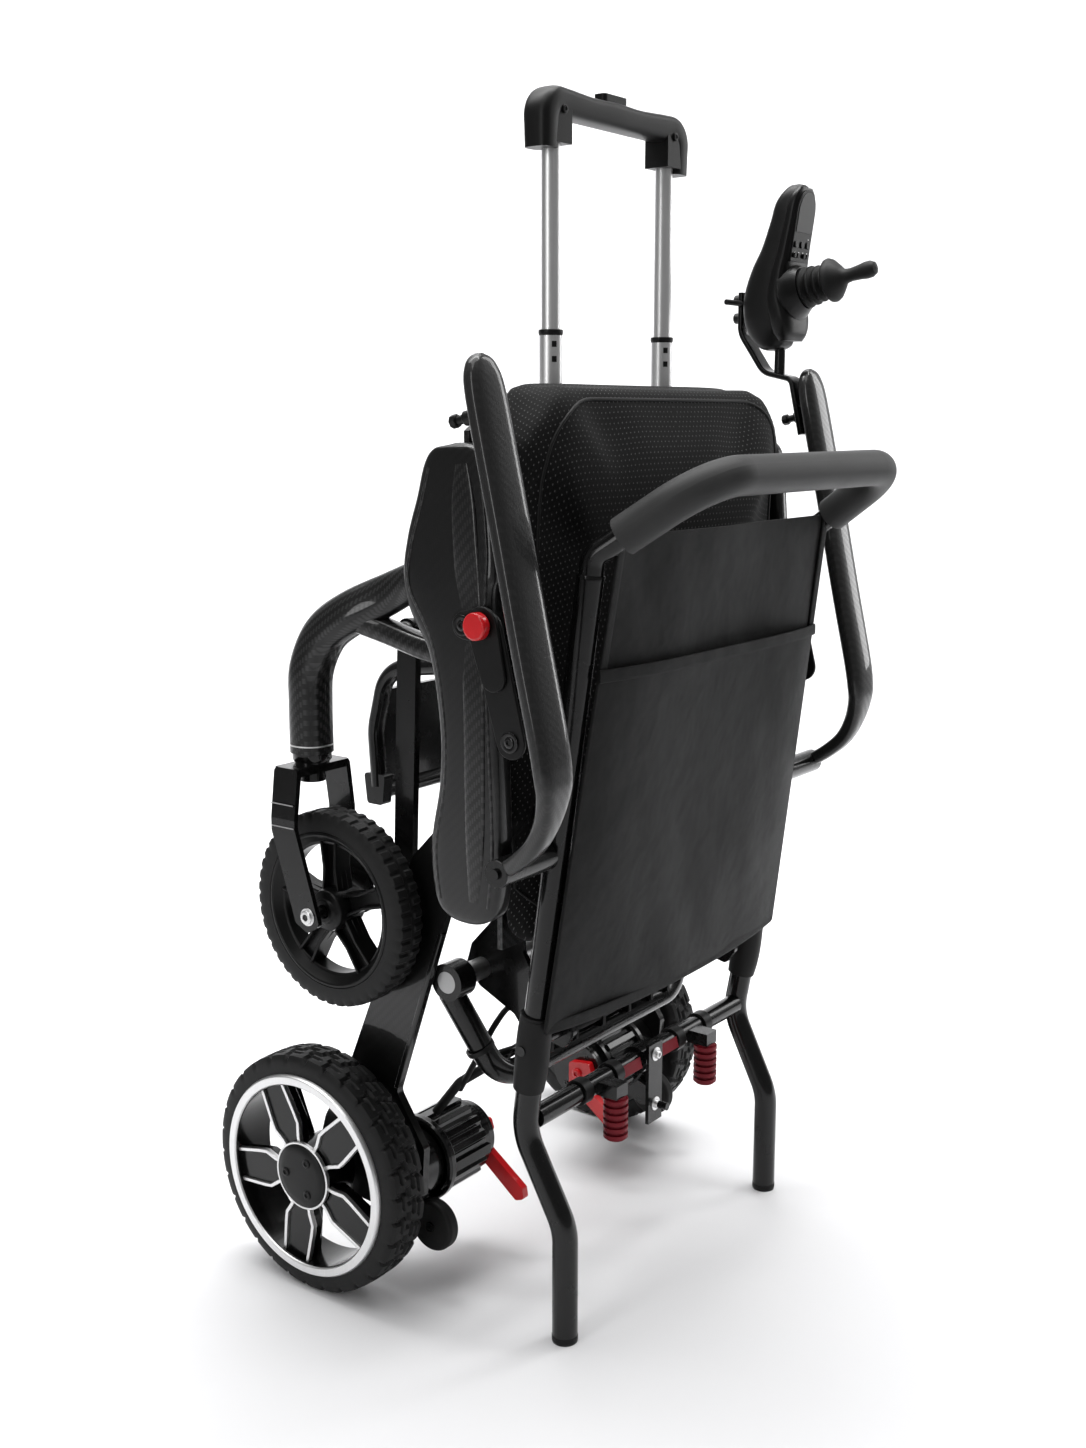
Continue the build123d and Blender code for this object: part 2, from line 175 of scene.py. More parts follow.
class Paint:
    """A material on the Principled shader; slot is the record's material slot it finishes."""

    def __init__(self, slot, **sockets):
        self.slot = slot
        self.material = bpy.data.materials.new("paint_" + slot)
        self.material.use_nodes = True
        self.tree = self.material.node_tree
        self.shader = self.tree.nodes["Principled BSDF"]
        self.set(Specular_IOR_Level=0.22)
        self.set(**sockets)
        PAINTS.append(slot)

    def set(self, **sockets):
        for name, value in sockets.items():
            self.feed(self.shader.inputs[name.replace("_", " ")], value)
        return self

    def feed(self, socket, value):
        if isinstance(value, Sum):
            self.tree.links.new(value.socket, socket)
        else:
            socket.default_value = value

    def node(self, kind, settings=None, inputs=None, output=0):
        made = self.tree.nodes.new(kind)
        for name, value in (settings or {}).items():
            setattr(made, name, value)
        for key, value in (inputs or {}).items():
            self.feed(made.inputs[key], value)
        return Sum(self, made.outputs[output])

    def spot(self):
        """The point on the surface, in metres."""
        return self.node("ShaderNodeTexCoord", output="Object")

    def xyz(self):
        split = self.node("ShaderNodeSeparateXYZ", inputs={"Vector": self.spot()})
        return [Sum(self, socket) for socket in split.socket.node.outputs]

    def noise(self, scale, detail=3.0):
        inputs = {"Vector": self.spot(), "Scale": scale, "Detail": detail}
        return self.node("ShaderNodeTexNoise", inputs=inputs)

    def mix(self, factor, first, second):
        """Two colours mixed; a Math node would turn them grey."""
        return self.node("ShaderNodeMix", {"data_type": "RGBA"}, {0: factor, 6: first, 7: second}, output=2)

    def bump(self, height, distance, strength=1.0):
        settings = {"Height": height, "Distance": distance, "Strength": strength}
        return self.set(Normal=self.node("ShaderNodeBump", inputs=settings))


def grey(value):
    return (value, value, value, 1.0)


# %% [markdown]
# ## Finishes
# Tyres are dull with a dusty bloom; paint is smooth with a faint orange peel; anodised rods are
# brushed along their length. Each gets two scales of variation, one large and one fine.

# %% Rubber, foam and plain plastics
def rubber(slot, dark, light, rough, patches=None):
    """Rubber with a dusty bloom; patches is the scale of its colour, if not the bloom's own."""
    paint = Paint(slot)
    bloom = paint.noise(22.0, 5.0)
    tint = paint.noise(patches) if patches else bloom
    paint.set(Base_Color=paint.mix(tint, dark, light), Roughness=bloom * 0.2 + rough)
    return paint.bump(paint.noise(900.0, 2.0), 0.0003, 0.35)


def moulded(slot, dark, light, rough, grain):
    """Moulded plastic with a fine spark-eroded grain."""
    paint = Paint(slot)
    cloud = paint.noise(14.0)
    paint.set(Base_Color=paint.mix(cloud, grey(dark), grey(light)), Roughness=cloud * 0.1 + rough)
    return paint.bump(paint.noise(grain, 1.0), 0.0002, 0.25)


TYRE = rubber("tyre", grey(0.003), grey(0.012), 0.42)
SOFT_BLACK = rubber("black_rubber", grey(0.003), grey(0.008), 0.45)
FOAM = rubber("foam", grey(0.022), grey(0.045), 0.42)
BLACK_PLASTIC = moulded("black_plastic", 0.003, 0.008, 0.34, 1500.0)
CASTER_PLASTIC = moulded("caster_plastic", 0.002, 0.006, 0.26, 900.0)
RED_RUBBER = rubber("red_rubber", (0.13, 0.004, 0.01, 1), (0.24, 0.01, 0.02, 1), 0.38, patches=30.0)
print("finishes so far:", PAINTS)


# %% Paint, castings and bright metal
def painted(slot, shade, rough, coat):
    paint = Paint(slot, Coat_Weight=coat, Coat_Roughness=0.08)
    peel = paint.noise(60.0)
    paint.set(Base_Color=paint.mix(peel, grey(shade * 0.7), grey(shade * 1.3)),
              Roughness=peel * 0.12 + rough)
    return paint.bump(paint.noise(240.0), 0.0001, 0.3)


FRAME_BLACK = painted("frame_black", 0.003, 0.2, 0.35)
MOTOR_BLACK = painted("motor_black", 0.003, 0.16, 0.5)
RIM_BLACK = painted("rim", 0.002, 0.16, 0.25)


def metal(slot, shade, rough, along):
    """Drawn or brushed metal: fine lines that run along one axis."""
    paint = Paint(slot, Metallic=1.0)
    stretch = [1400.0, 1400.0, 1400.0]
    stretch["XYZ".index(along)] = 18.0
    lines = paint.node("ShaderNodeMapping", inputs={"Vector": paint.spot(), "Scale": stretch})
    brushed = paint.node("ShaderNodeTexNoise", inputs={"Vector": lines, "Scale": 1.0, "Detail": 2.0})
    paint.set(Base_Color=paint.mix(brushed, grey(shade * 0.85), grey(shade)),
              Roughness=brushed * 0.15 + rough)
    return paint.bump(brushed, 0.0001, 0.15)


STEEL = metal("steel", 0.4, 0.3, "X")
BRIGHT_ROD = metal("bright_rod", 0.82, 0.3, "Z")


def red_plastic():
    paint = Paint("red_plastic", Coat_Weight=0.7, Coat_Roughness=0.06)
    cloud = paint.noise(40.0)
    paint.set(Base_Color=paint.mix(cloud, (0.5, 0.004, 0.008, 1), (0.68, 0.01, 0.014, 1)),
              Roughness=cloud * 0.1 + 0.26)
    return paint.bump(paint.noise(300.0), 0.0001, 0.2)


RED_PLASTIC = red_plastic()

# %% [markdown]
# ## Carbon under clear coat
# Woven tows pass over two and under two, which makes a diagonal twill. The cell number along and
# across the cloth, added and wrapped by four, says which tow lies on top. A clear coat lies over it.
# The crowns of the top tows are coloured lighter: a painted highlight in place of the fibres' glint.

# %% Carbon weave
TOW = 2.6 * MM


def carbon(slot, dark, light, painted_glint_strength):
    paint = Paint(slot, Coat_Weight=0.6, Coat_Roughness=0.05, Specular_IOR_Level=0.2)
    x, y, z = paint.xyz()
    across, along = (x + y) / TOW, z / TOW
    over = (across.floor() + along.floor()).wrapped(4.0) < 2.0
    cloud = paint.noise(9.0)
    depth = (across * pi).wave().size() * over + (along * pi).wave().size() * (1 - over)
    # painted highlight: the crowns of the top tows are coloured lighter, as if they glinted
    painted_glint = over * cloud * depth * painted_glint_strength
    paint.set(Base_Color=paint.mix(painted_glint, grey(dark), grey(light)), Roughness=0.42 - over * 0.14)
    return paint.bump(depth, 0.0001, 0.25)


# the last number is the strength of the painted highlight on the top tows
CARBON = carbon("carbon", 0.002, 0.06, 0.7)
SHELL_GLOSS = carbon("carbon", 0.0015, 0.02, 0.25)
PAD_GREY = carbon("pad_grey", 0.012, 0.05, 0.35)
print("tow width in mm:", TOW / MM)

# %% [markdown]
# ## Mesh cloth and coated nylon
# Spacer mesh is a knit with small pale holes set in a staggered grid. The grid is laid out on the
# front face and carried round the sides, as if the cloth were wrapped. Nylon is a tight plain weave.

# %% Cloth finishes
DOT_PITCH = 6.6 * MM


def spacer_mesh():
    paint = Paint("seat_mesh", Sheen_Weight=0.04, Sheen_Roughness=0.4, Specular_IOR_Level=0.12)
    x, y, z = paint.xyz()
    wrap = y - place(0, 12, 0).y
    side = (x > 0.0) * 2.0 - 1.0
    across, along = (x + side * wrap) / DOT_PITCH, (z + wrap) / (DOT_PITCH * 0.866)
    row = along.floor().wrapped(2.0) * 0.5
    dx, dz = (across + row).fract() - 0.5, (along.fract() - 0.5) * 0.866
    reach = (dx * dx + dz * dz).math("SQRT")
    dot = reach < 0.12
    ring = (reach < 0.3) * (1 - dot)
    cloud = paint.noise(9.0)
    knit = paint.noise(420.0, 1.0)
    cloth = paint.mix(knit, grey(0.0025), grey(0.009))
    paint.set(Base_Color=paint.mix(dot * (cloud * 1.3 - 0.15), cloth, grey(0.16)),
              Roughness=knit * 0.15 + 0.7)
    return paint.bump(knit * 0.5 + ring * 0.6 - dot, 0.0006, 0.7)


def coated_nylon():
    paint = Paint("nylon", Sheen_Weight=0.01, Sheen_Roughness=0.35, Specular_IOR_Level=0.1)
    x, y, z = paint.xyz()
    weave = (x * 5200.0).wave() * (z * 5200.0).wave()
    cloud = paint.noise(7.0, 4.0)
    paint.set(Base_Color=paint.mix(cloud, grey(0.004), grey(0.011)), Roughness=cloud * 0.2 + 0.4)
    return paint.bump(paint.noise(16.0, 3.0) * 3 + weave * 0.06, 0.0035, 0.55)


SEAT_MESH = spacer_mesh()
NYLON = coated_nylon()
BY_SLOT = {paint.slot: paint for paint in (
    TYRE, SOFT_BLACK, FOAM, BLACK_PLASTIC, CASTER_PLASTIC, RED_RUBBER, FRAME_BLACK, MOTOR_BLACK, RIM_BLACK,
    STEEL, BRIGHT_ROD, RED_PLASTIC, CARBON, PAD_GREY, SEAT_MESH, NYLON)}
for name, node in frame["nodes"].items():
    finish = SHELL_GLOSS if name.startswith("link_plate") else BY_SLOT[SLOT_OF[name]]
    node.data.materials.clear()
    node.data.materials.append(finish.material)
print("CAD nodes finished:", len(frame["nodes"]))

# %% [markdown]
# ## Building pieces
# Every piece goes through one function: it makes the mesh, gives it its finish, marks the sharp
# edges, rides it on its body and hides the CAD nodes it stands for.

# %% The piece maker
COUNT = {"pieces": 0, "faces": 0}
BEVEL_ANGLE = 0.6


def piece(name, verts, faces, paint, body, bevel=0.0, levels=0, sharp=38.0, stands_for=()):
    mesh = bpy.data.meshes.new(name)
    mesh.from_pydata([tuple(v) for v in verts], [], faces)
    work = bmesh.new()
    work.from_mesh(mesh)
    bmesh.ops.remove_doubles(work, verts=work.verts, dist=1e-6)
    bmesh.ops.recalc_face_normals(work, faces=work.faces)
    for edge in work.edges:
        edge.smooth = len(edge.link_faces) == 2 and edge.calc_face_angle() < sharp * pi / 180
    for face in work.faces:
        face.smooth = True
    work.to_mesh(mesh)
    work.free()
    mesh.materials.append(paint.material)
    made = linked(name, mesh)
    if bevel:
        rounding = made.modifiers.new("rounding", "BEVEL")
        rounding.width, rounding.segments, rounding.limit_method = bevel * MM, 2, "ANGLE"
        rounding.angle_limit = BEVEL_ANGLE
        rounding.harden_normals = False
    if levels:
        smooth = made.modifiers.new("smooth", "SUBSURF")
        smooth.levels = smooth.render_levels = levels
    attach(made, body)
    if stands_for:
        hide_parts(*stands_for)
    COUNT["pieces"] += 1
    COUNT["faces"] += len(faces)
    return made


def joined(*parts):
    """Several (verts, faces) as one."""
    verts, faces = [], []
    for part_verts, part_faces in parts:
        start = len(verts)
        verts += part_verts
        faces += [[start + n for n in face] for face in part_faces]
    return verts, faces


def facing(origin, out, up=(0, 0, 1)):
    """A frame at origin whose Z looks along out."""
    out = Vector(out).normalized()
    side = Vector(up).cross(out)
    side = Vector((1, 0, 0)) if side.length < 1e-6 else side.normalized()
    turn = Matrix((side, out.cross(side), out)).transposed().to_4x4()
    return Matrix.Translation(origin) @ turn


def at(x, y, z, out=(0, 0, 1)):
    """A frame at a point of the drawing, in mm, whose Z looks along out."""
    return facing(place(x, y, z), out)


def spread(where, first, count):
    """Frames spaced evenly about the Z of where; the first is turned by that many degrees."""
    return [where @ Matrix.Rotation((first + 360 / count * n) * pi / 180, 4, "Z") for n in range(count)]


def hub_of(wheel, side):
    """A frame at the middle of a wheel whose Z is its axle, pointing away from the chair."""
    return facing(turned_at(f"{wheel}_spin_{side}"), (SIDES[side], 0, 0))


def lathe(profile, where, steps=48):
    """A closed profile of (radius, height) in mm, turned about the Z of where."""
    verts, faces = [], []
    count = len(profile)
    for n in range(steps):
        angle = 2 * pi * n / steps
        verts += [where @ (Vector((r * cos(angle), r * sin(angle), h)) * MM) for r, h in profile]
    for n in range(steps):
        for k in range(count):
            a, b = n * count, (n + 1) % steps * count
            faces.append([a + k, b + k, b + (k + 1) % count, a + (k + 1) % count])
    return verts, faces


def disc(radius, low, high, rounding=0.8):
    """Profile of a solid disc or shaft with eased edges."""
    return [(0.01, low), (radius - rounding, low), (radius, low + rounding), (radius, high - rounding),
            (radius - rounding, high), (0.01, high)]


def walled(count):
    """Faces of a solid whose points are two outlines of count points, one after the other."""
    faces = [list(range(count)), list(range(count, 2 * count))]
    return faces + [[n, (n + 1) % count, count + (n + 1) % count, count + n] for n in range(count)]


def prism(outline, where, low, high):
    """An outline of (x, y) in mm on the frame where, pulled from low to high."""
    verts = [where @ (Vector((x, y, h)) * MM) for h in (low, high) for x, y in outline]
    return verts, walled(len(outline))


def eased(stations, steps):
    """Catmull-Rom through rows of numbers, so a shape flows through its stations."""
    rows = [stations[0], *stations, stations[-1]]
    out = []
    for a, b, c, d in zip(rows, rows[1:], rows[2:], rows[3:]):
        for n in range(steps):
            t = n / steps
            weights = (-t + 2 * t**2 - t**3, 2 - 5 * t**2 + 3 * t**3, t + 4 * t**2 - 3 * t**3, t**3 - t**2)
            out.append([sum(w * v for w, v in zip(weights, column)) / 2 for column in zip(a, b, c, d)])
    return out + [list(stations[-1])]


def loft(stations, power=2.0, around=28, steps=6, side=(1, 0, 0)):
    """A body through stations (x, y, z, half width along side, half depth).

    A power of 2 makes it round, and more makes it boxy.
    """
    rows = eased(stations, steps)
    centres = [place(*row[:3]) for row in rows]
    verts, faces = [], []
    last = len(rows) - 1
    for n, (centre, row) in enumerate(zip(centres, rows)):
        along = (centres[min(n + 1, last)] - centres[max(n - 1, 0)]).normalized()
        wide = (Vector(side) - along * along.dot(Vector(side))).normalized()
        deep = along.cross(wide)
        for k in range(around):
            c, s = cos(2 * pi * k / around), sin(2 * pi * k / around)
            u, v = (abs(c) ** (2 / power) * (1 if c > 0 else -1),
                    abs(s) ** (2 / power) * (1 if s > 0 else -1))
            verts.append(centre + wide * u * row[3] * MM + deep * v * row[4] * MM)
    for n in range(last):
        for k in range(around):
            a, b = n * around, (n + 1) * around
            faces.append([a + k, a + (k + 1) % around, b + (k + 1) % around, b + k])
    faces += [list(range(around)), list(range(last * around, (last + 1) * around))]
    return verts, faces


def capsule(ends, steps=12):
    """Outline round two circles, each (x, y, radius), as one tongue."""
    (ax, ay, ar), (bx, by, br) = ends
    heading = Vector((bx - ax, by - ay))
    start = heading.angle_signed(Vector((1, 0)))
    half = pi / 2 - (ar - br) / heading.length
    points = []
    for n in range(steps + 1):
        angle = start + half + (2 * pi - 2 * half) * n / steps
        points.append((ax + ar * cos(angle), ay + ar * sin(angle)))
    for n in range(steps + 1):
        angle = start - half + 2 * half * n / steps
        points.append((bx + br * cos(angle), by + br * sin(angle)))
    return points


def socket_screw(radius, height, where):
    """A cap screw with a round socket in its head, standing on the frame where."""
    return lathe([(radius * 0.5, height * 0.4), (radius * 0.5, height), (radius * 0.85, height),
                  (radius, height * 0.8), (radius, 0), (0.01, 0), (0.01, height * 0.4)], where, 18)


# %% [markdown]
# ## Wheels
# The drive tyre has chunky blocks with a zigzag groove; the casters have fine ribs across. Both are
# a turned tyre section whose tread points sink where the pattern says groove. The rim's bright
# edges are thin kinked strips on each arm, so they are their own pieces of bright metal.

# %% Tread
FLAT_SHARE, SHOULDER_SHARE = 0.62, 0.38


def tread_tyre(where, radius, inner, half, blocks, columns, groove, pattern):
    """A tyre: sidewalls and crown, with tread points lowered by pattern(turn, across) times groove."""
    rows = 25
    profile = []
    for n in range(rows):
        v = -1 + 2 * n / (rows - 1)
        edge = max(0.0, (abs(v) - FLAT_SHARE) / SHOULDER_SHARE)
        crown = radius - 1.5 * v * v * (1 - edge) - (radius - inner - 1) * edge ** 1.7
        out = v if abs(v) < FLAT_SHARE else (FLAT_SHARE + SHOULDER_SHARE * edge**0.6) * (1 if v > 0 else -1)
        profile.append((v, crown, half * (1 - 0.14 * edge**2) * out))
    total = blocks * columns
    verts, faces = [], []
    for c in range(total):
        angle = 2 * pi * c / total
        for v, r, h in profile:
            tread = max(0.0, min(1.0, (0.9 - abs(v)) * 8))
            r -= groove * tread * pattern(c / columns, v)
            verts.append(where @ (Vector((r * cos(angle), r * sin(angle), h)) * MM))
        verts.append(where @ (Vector((inner * cos(angle), inner * sin(angle), half * 0.8)) * MM))
        verts.append(where @ (Vector((inner * cos(angle), inner * sin(angle), -half * 0.8)) * MM))
    ring = rows + 2
    for c in range(total):
        a, b = c * ring, (c + 1) % total * ring
        faces += [[a + k, b + k, b + (k + 1) % ring, a + (k + 1) % ring] for k in range(ring)]
    return verts, faces


def block_tread(turn, v):
    """Offset blocks: a zigzag round the middle and slanted cuts between the blocks."""
    lane = 0.5 if v > 0 else 0.0
    cut = (turn + lane + 0.35 * abs(v)) % 1.0
    zigzag = abs(v - 0.12 * (1 if turn % 1.0 < 0.5 else -1)) < 0.07
    notch = abs(abs(v) - 0.42) < 0.05 and cut > 0.45
    return 1.0 if cut < 0.17 or zigzag or notch else 0.0


def rib_tread(turn, v):
    """Fine ribs across, in two lanes with a plain strip between."""
    if abs(v) < 0.1:
        return 0.7
    return 1.0 if (turn + 0.25 * (v > 0)) % 1.0 < 0.34 else 0.0


for side in SIDES:
    hub = hub_of("drive_wheel", side)
    verts, faces = tread_tyre(hub, radius=127.0, inner=106.0, half=27.4, blocks=30, columns=9, groove=3.2,
                              pattern=block_tread)
    piece("tread_" + side, verts, faces, TYRE, "drive_wheel_" + side, sharp=30,
          stands_for=["drive_tyre_" + side])
    hub = hub_of("caster", side)
    verts, faces = tread_tyre(hub, radius=100.0, inner=79.0, half=19.6, blocks=46, columns=6, groove=1.8,
                              pattern=rib_tread)
    piece("caster_tread_" + side, verts, faces, TYRE, "caster_wheel_" + side, sharp=30,
          stands_for=["caster_tyre_" + side])
print("pieces and faces after the tyres:", COUNT)

# %% Rims and hub caps
RIM_FACE = 27.5
ARMS, ARM_START = 5, 45
ARM_EDGE = [(33, 10.5), (40, 12.5), (52, 18.5), (62, 18.5), (97.5, 16)]


def ribbon(points, half, low, high, where):
    """A kinked flat strip of even width."""
    left, right = [], []
    for n, point in enumerate(points):
        before, after = points[max(n - 1, 0)], points[min(n + 1, len(points) - 1)]
        run = Vector((after[0] - before[0], after[1] - before[1])).normalized()
        left.append((point[0] - run.y * half, point[1] + run.x * half))
        right.append((point[0] + run.y * half, point[1] - run.x * half))
    return prism(left + right[::-1], where, low, high)


for side in SIDES:
    hub = hub_of("drive_wheel", side)
    ring = lathe([(96.5, 20), (96.5, 26.5), (98, RIM_FACE + 1), (105.5, RIM_FACE + 1), (107, 26),
                  (107, 20)], hub, 120)
    border = lathe([(33.6, 22), (33.6, 26.4), (36, 26.4), (36, 22)], hub, 64)
    strips = []
    for turn in spread(hub, ARM_START, ARMS):
        for flip in (1, -1):
            strips.append(ribbon([(x, y * flip) for x, y in ARM_EDGE], 1.9, 18, 23.5, turn))
    piece("rim_bright_" + side, *joined(ring, border, *strips), BRIGHT_ROD, "drive_wheel_" + side,
          bevel=0.5)
    cap = lathe([(0.01, 24), (0.01, 29), (24, 29), (31.5, 28.2), (33.5, 26.5), (33.5, 24)], hub, 64)
    screws = [socket_screw(4.8, 1.8, turn @ Matrix.Translation((20 * MM, 0, 28.5 * MM)))
              for turn in spread(hub, 60, 3)]
    piece("hub_cap_" + side, *joined(cap, *screws), BLACK_PLASTIC, "drive_wheel_" + side, bevel=0.3)
    barrel = lathe([(96, -22), (96, 27), (106.6, 27), (106.6, -22)], hub, 96)
    core = lathe([(8.5, -18), (8.5, 24), (34, 24), (34, -18)], hub, 64)
    arms = []
    for turn in spread(hub, ARM_START, ARMS):
        outline = [(30, -10), *[(x, -y) for x, y in ARM_EDGE], *ARM_EDGE[::-1], (30, 10)]
        arms.append(prism(outline, turn, 7, 20.5))
        arms.append(prism([(34, -3), (96, -7), (96, 7), (34, 3)], turn, -8, 8))
    piece("rim_arms_" + side, *joined(barrel, core, *arms), RIM_BLACK, "drive_wheel_" + side, bevel=1.2,
          stands_for=["drive_rim_" + side])
print("rims done:", COUNT["pieces"], "pieces")


# %% Caster wheels
def caster_wheel(where):
    """Deep moulded rim: two lips, a dished web ring, a stepped hub and five ribbed spokes."""
    lips = lathe([(79.5, -17), (79.5, 17), (76, 17.5), (73, 14), (68, 9), (66, 9), (66, -9), (68, -9),
                  (73, -14), (76, -17.5)], where, 80)
    hub = lathe([(6.5, -22), (6.5, 22), (12, 22), (13, 20), (20, 18), (22, 12), (22, -12), (20, -18),
                 (13, -20), (12, -22)], where, 40)
    spokes = []
    for turn in spread(where, 20, 5):
        spokes.append(prism([(19, -12), (42, -8.5), (67, -11), (67, 11), (42, 8.5), (19, 12)], turn, -4, 4))
        for rib in (-1, 1):
            edge = [(18, 9.5 * rib), (42, 7 * rib), (68, 9.5 * rib)]
            spokes.append(ribbon(edge, 1.6, -11, 11, turn))
    return joined(lips, hub, *spokes)


for side, sign in SIDES.items():
    hub = hub_of("caster", side)
    piece("caster_rim_" + side + "_moulded", *caster_wheel(hub), CASTER_PLASTIC, "caster_wheel_" + side,
          bevel=1.2, stands_for=["caster_rim_" + side])
    for out in (1, -1):
        bolt = hub @ Matrix.Rotation(0 if out > 0 else pi, 4, "X") @ Matrix.Translation((0, 0, 43 * MM))
        washer = lathe(disc(9, 0, 1.2, 0.3), bolt, 30)
        name = f"caster_bolt_{side}_{'out' if out > 0 else 'in'}"
        piece(name, *joined(washer, socket_screw(7, 4, bolt)), BRIGHT_ROD, "caster_fork_" + side, bevel=0.2)
    collar = at(sign * 250, 270, 566)
    neck = lathe([(12, -9), (18, -9), (19.5, -7), (19.5, 0), (12, 0)], collar, 48)
    piece("fork_neck_" + side, *neck, FRAME_BLACK, "caster_fork_" + side)
    ring = lathe([(20.8, 7), (22.1, 7.2), (22.1, 8.4), (20.8, 8.6)], collar, 64)
    piece("stem_ring_" + side, *ring, BRIGHT_ROD, "front_arms")
    grooves = [prism([(-15, -0.6), (15, -0.6), (15, 0.6), (-15, 0.6)],
                     at(sign * 293.2, 270, z, (sign, 0, 0)), -0.4, 0.25) for z in (520, 497)]
    piece("fork_lines_" + side, *joined(*grooves), STEEL, "caster_fork_" + side)
print("casters done:", COUNT["pieces"], "pieces")

# %% [markdown]
# ## Front arms and side shells
# These are laid-up carbon: hollow, rounded everywhere, with no flat plate in them. A loft through
# a few stations gives the flowing tube; the same loft, squashed boxy, gives the side shells.

# %% Front arms
for side, sign in SIDES.items():
    upper = [(250, 270, 566, 21, 21), (250, 270, 615, 21, 21), (249, 268, 650, 21.5, 21.5),
             (245, 252, 684, 21, 22), (240, 222, 706, 19, 22), (231, 180, 727, 13.4, 20),
             (230, 140, 745, 14, 17), (229, 118, 750, 13.5, 15)]
    lower = [(241, 220, 703, 12, 13), (231, 180, 690, 12.5, 12), (230, 140, 680, 13, 12),
             (229, 112, 676, 13, 13)]
    eye_strap = [(229.5, 112, 668, 13.4, 9), (229.5, 110, 700, 13.4, 11), (229.5, 112, 735, 13.4, 15),
                 (229.5, 113, 757, 13.4, 9)]
    shapes = [loft([(x * sign, *rest) for x, *rest in stations], power, 32) for stations, power in
              ((upper, 2.2), (lower, 2.6), (eye_strap, 4.0))]
    piece(f"arm_{side}_skin", *joined(*shapes), CARBON, "front_arms", stands_for=["front_arm_" + side])
    pin = at(sign * 204, 175, 690, (sign, 0, 0))
    piece(f"arm_{side}_link_boss", *lathe(disc(9, -2, 14), pin, 32), STEEL, "front_arms")
print("front arms done:", COUNT["pieces"], "pieces")

# %% Side shells
SHELL_STATIONS = [(60, 431, 3, 6), (60, 436, 22, 11), (60, 452, 37, 12.5), (60, 500, 42, 12.5),
                  (55, 560, 36, 12.5), (56, 620, 34, 12.5), (64, 690, 39, 12.5), (77, 740, 53, 12.5),
                  (75, 775, 53, 12.5), (70, 815, 45, 12.5), (67, 848, 38, 12.5), (66, 864, 27, 11),
                  (66, 870, 4, 6)]


def spine(sign):
    """Raised weave strip that runs down the outside of the shell."""
    stations = [(sign * 269, 58, 852, 1.5, 7), (sign * 269.5, 56, 820, 2.6, 13),
                (sign * 269.3, 54, 780, 2.4, 14), (sign * 268.2, 52, 735, 2, 14),
                (sign * 268.2, 48, 680, 2, 13), (sign * 269.3, 46, 630, 2.4, 12),
                (sign * 269.5, 46, 520, 2.4, 11), (sign * 269, 48, 455, 1.5, 6)]
    return loft(stations, 3.0, 28, 7)


def shell_rim(sign):
    """Raised lip a little inside both edges of the shell's outer face."""
    lips = []
    for edge in (-1, 1):
        line = [(sign * 268.8, y + edge * (wide - 9), z, 1.4, 1.8) for y, z, wide,
                _ in SHELL_STATIONS[2:-2]]
        lips.append(loft(line, 2.0, 12, 7))
    return lips


for side, sign in SIDES.items():
    skin = loft([(sign * 257.5, y, z, deep, wide) for y, z, wide, deep in SHELL_STATIONS], 5.0, 44, 7)
    piece(f"shell_{side}_skin", *skin, SHELL_GLOSS, "seat", stands_for=["seat_side_shell_" + side])
    piece(f"shell_{side}_weave", *joined(spine(sign), *shell_rim(sign)), CARBON, "seat")
    pivot = at(sign * 209, 112, 735, (sign, 0, 0))
    piece(f"arm_pivot_pin_{side}", *lathe(disc(6, 0, 38), pivot, 24), STEEL, "seat")
print("shells done:", COUNT["pieces"], "pieces")

# %% [markdown]
# ## Lock plates
# Each shell carries a plate with two bolts, and a shorter tongue over it that holds the red button.

# %% Lock plates
def on_side(sign, x):
    """A frame on the chair's side: its X is the chair's +Y, its Y is up."""
    turn = Matrix(((0, 0, sign), (1, 0, 0), (0, 1, 0))).to_4x4()
    return Matrix.Translation(place(sign * x, 0, 0)) @ turn


for side, sign in SIDES.items():
    where = on_side(sign, 270)
    base = prism(capsule([(29, 708, 18), (2, 611, 16)]), where, 0.3, 4)
    ear = prism(capsule([(31, 712, 17), (53, 711, 12.5)]), where, 3.5, 6)
    tongue = prism(capsule([(31, 712, 17.5), (19, 668, 14)]), where, 3.5, 7.5)
    piece("lock_plate_" + side, *joined(base, ear, tongue), BLACK_PLASTIC, "seat", bevel=1.2,
          stands_for=["lock_plates"])
    screws = []
    for y, z, h in ((53, 711, 6), (2, 611, 4)):
        spot = where @ Matrix.Translation((y * MM, z * MM, h * MM))
        screws.append(lathe([(5, 0.2), (9.5, 0.2), (9.5, 1.6), (8, 2), (5, 1.2)], spot, 30))
        screws.append(socket_screw(5.2, 2.4, spot))
    piece("lock_screws_" + side, *joined(*screws), MOTOR_BLACK, "seat", bevel=0.2)
print("lock plates done")

# %% [markdown]
# ## The seat cushion
# A cushion is a sewn bag that is blown up by its foam. Cloth simulation does the same: the shape is
# remeshed, inflated for twenty steps with its back held flat, and capped so that it can't grow too far.

# %% Seat cushion
CUSHION_CAP = 11 * MM
CORNER_ROUND = 0.075
HELD_DEPTH = 12 * MM
VOXEL = 6.5 * MM
PRESSURE = 7.0
BAG_SHARE = Vector((0.98, 0.9, 0.984))
low, high = corners("seat_cushion")
heart = (low + high) / 2


def rounded_top(point):
    """The point with the cushion's two square upper corners drawn in to a wide round."""
    across = (abs(point.x - heart.x) - (high.x - heart.x)) / CORNER_ROUND + 1
    up = (point.z - high.z) / CORNER_ROUND + 1
    if across <= 0 or up <= 0:
        return point
    inward = across * (1 - sqrt(max(0.0, 1 - up * up / 2))) * CORNER_ROUND
    down = up * (1 - sqrt(max(0.0, 1 - across * across / 2))) * CORNER_ROUND
    return Vector((point.x - (inward if point.x > heart.x else -inward), point.y, point.z - down))


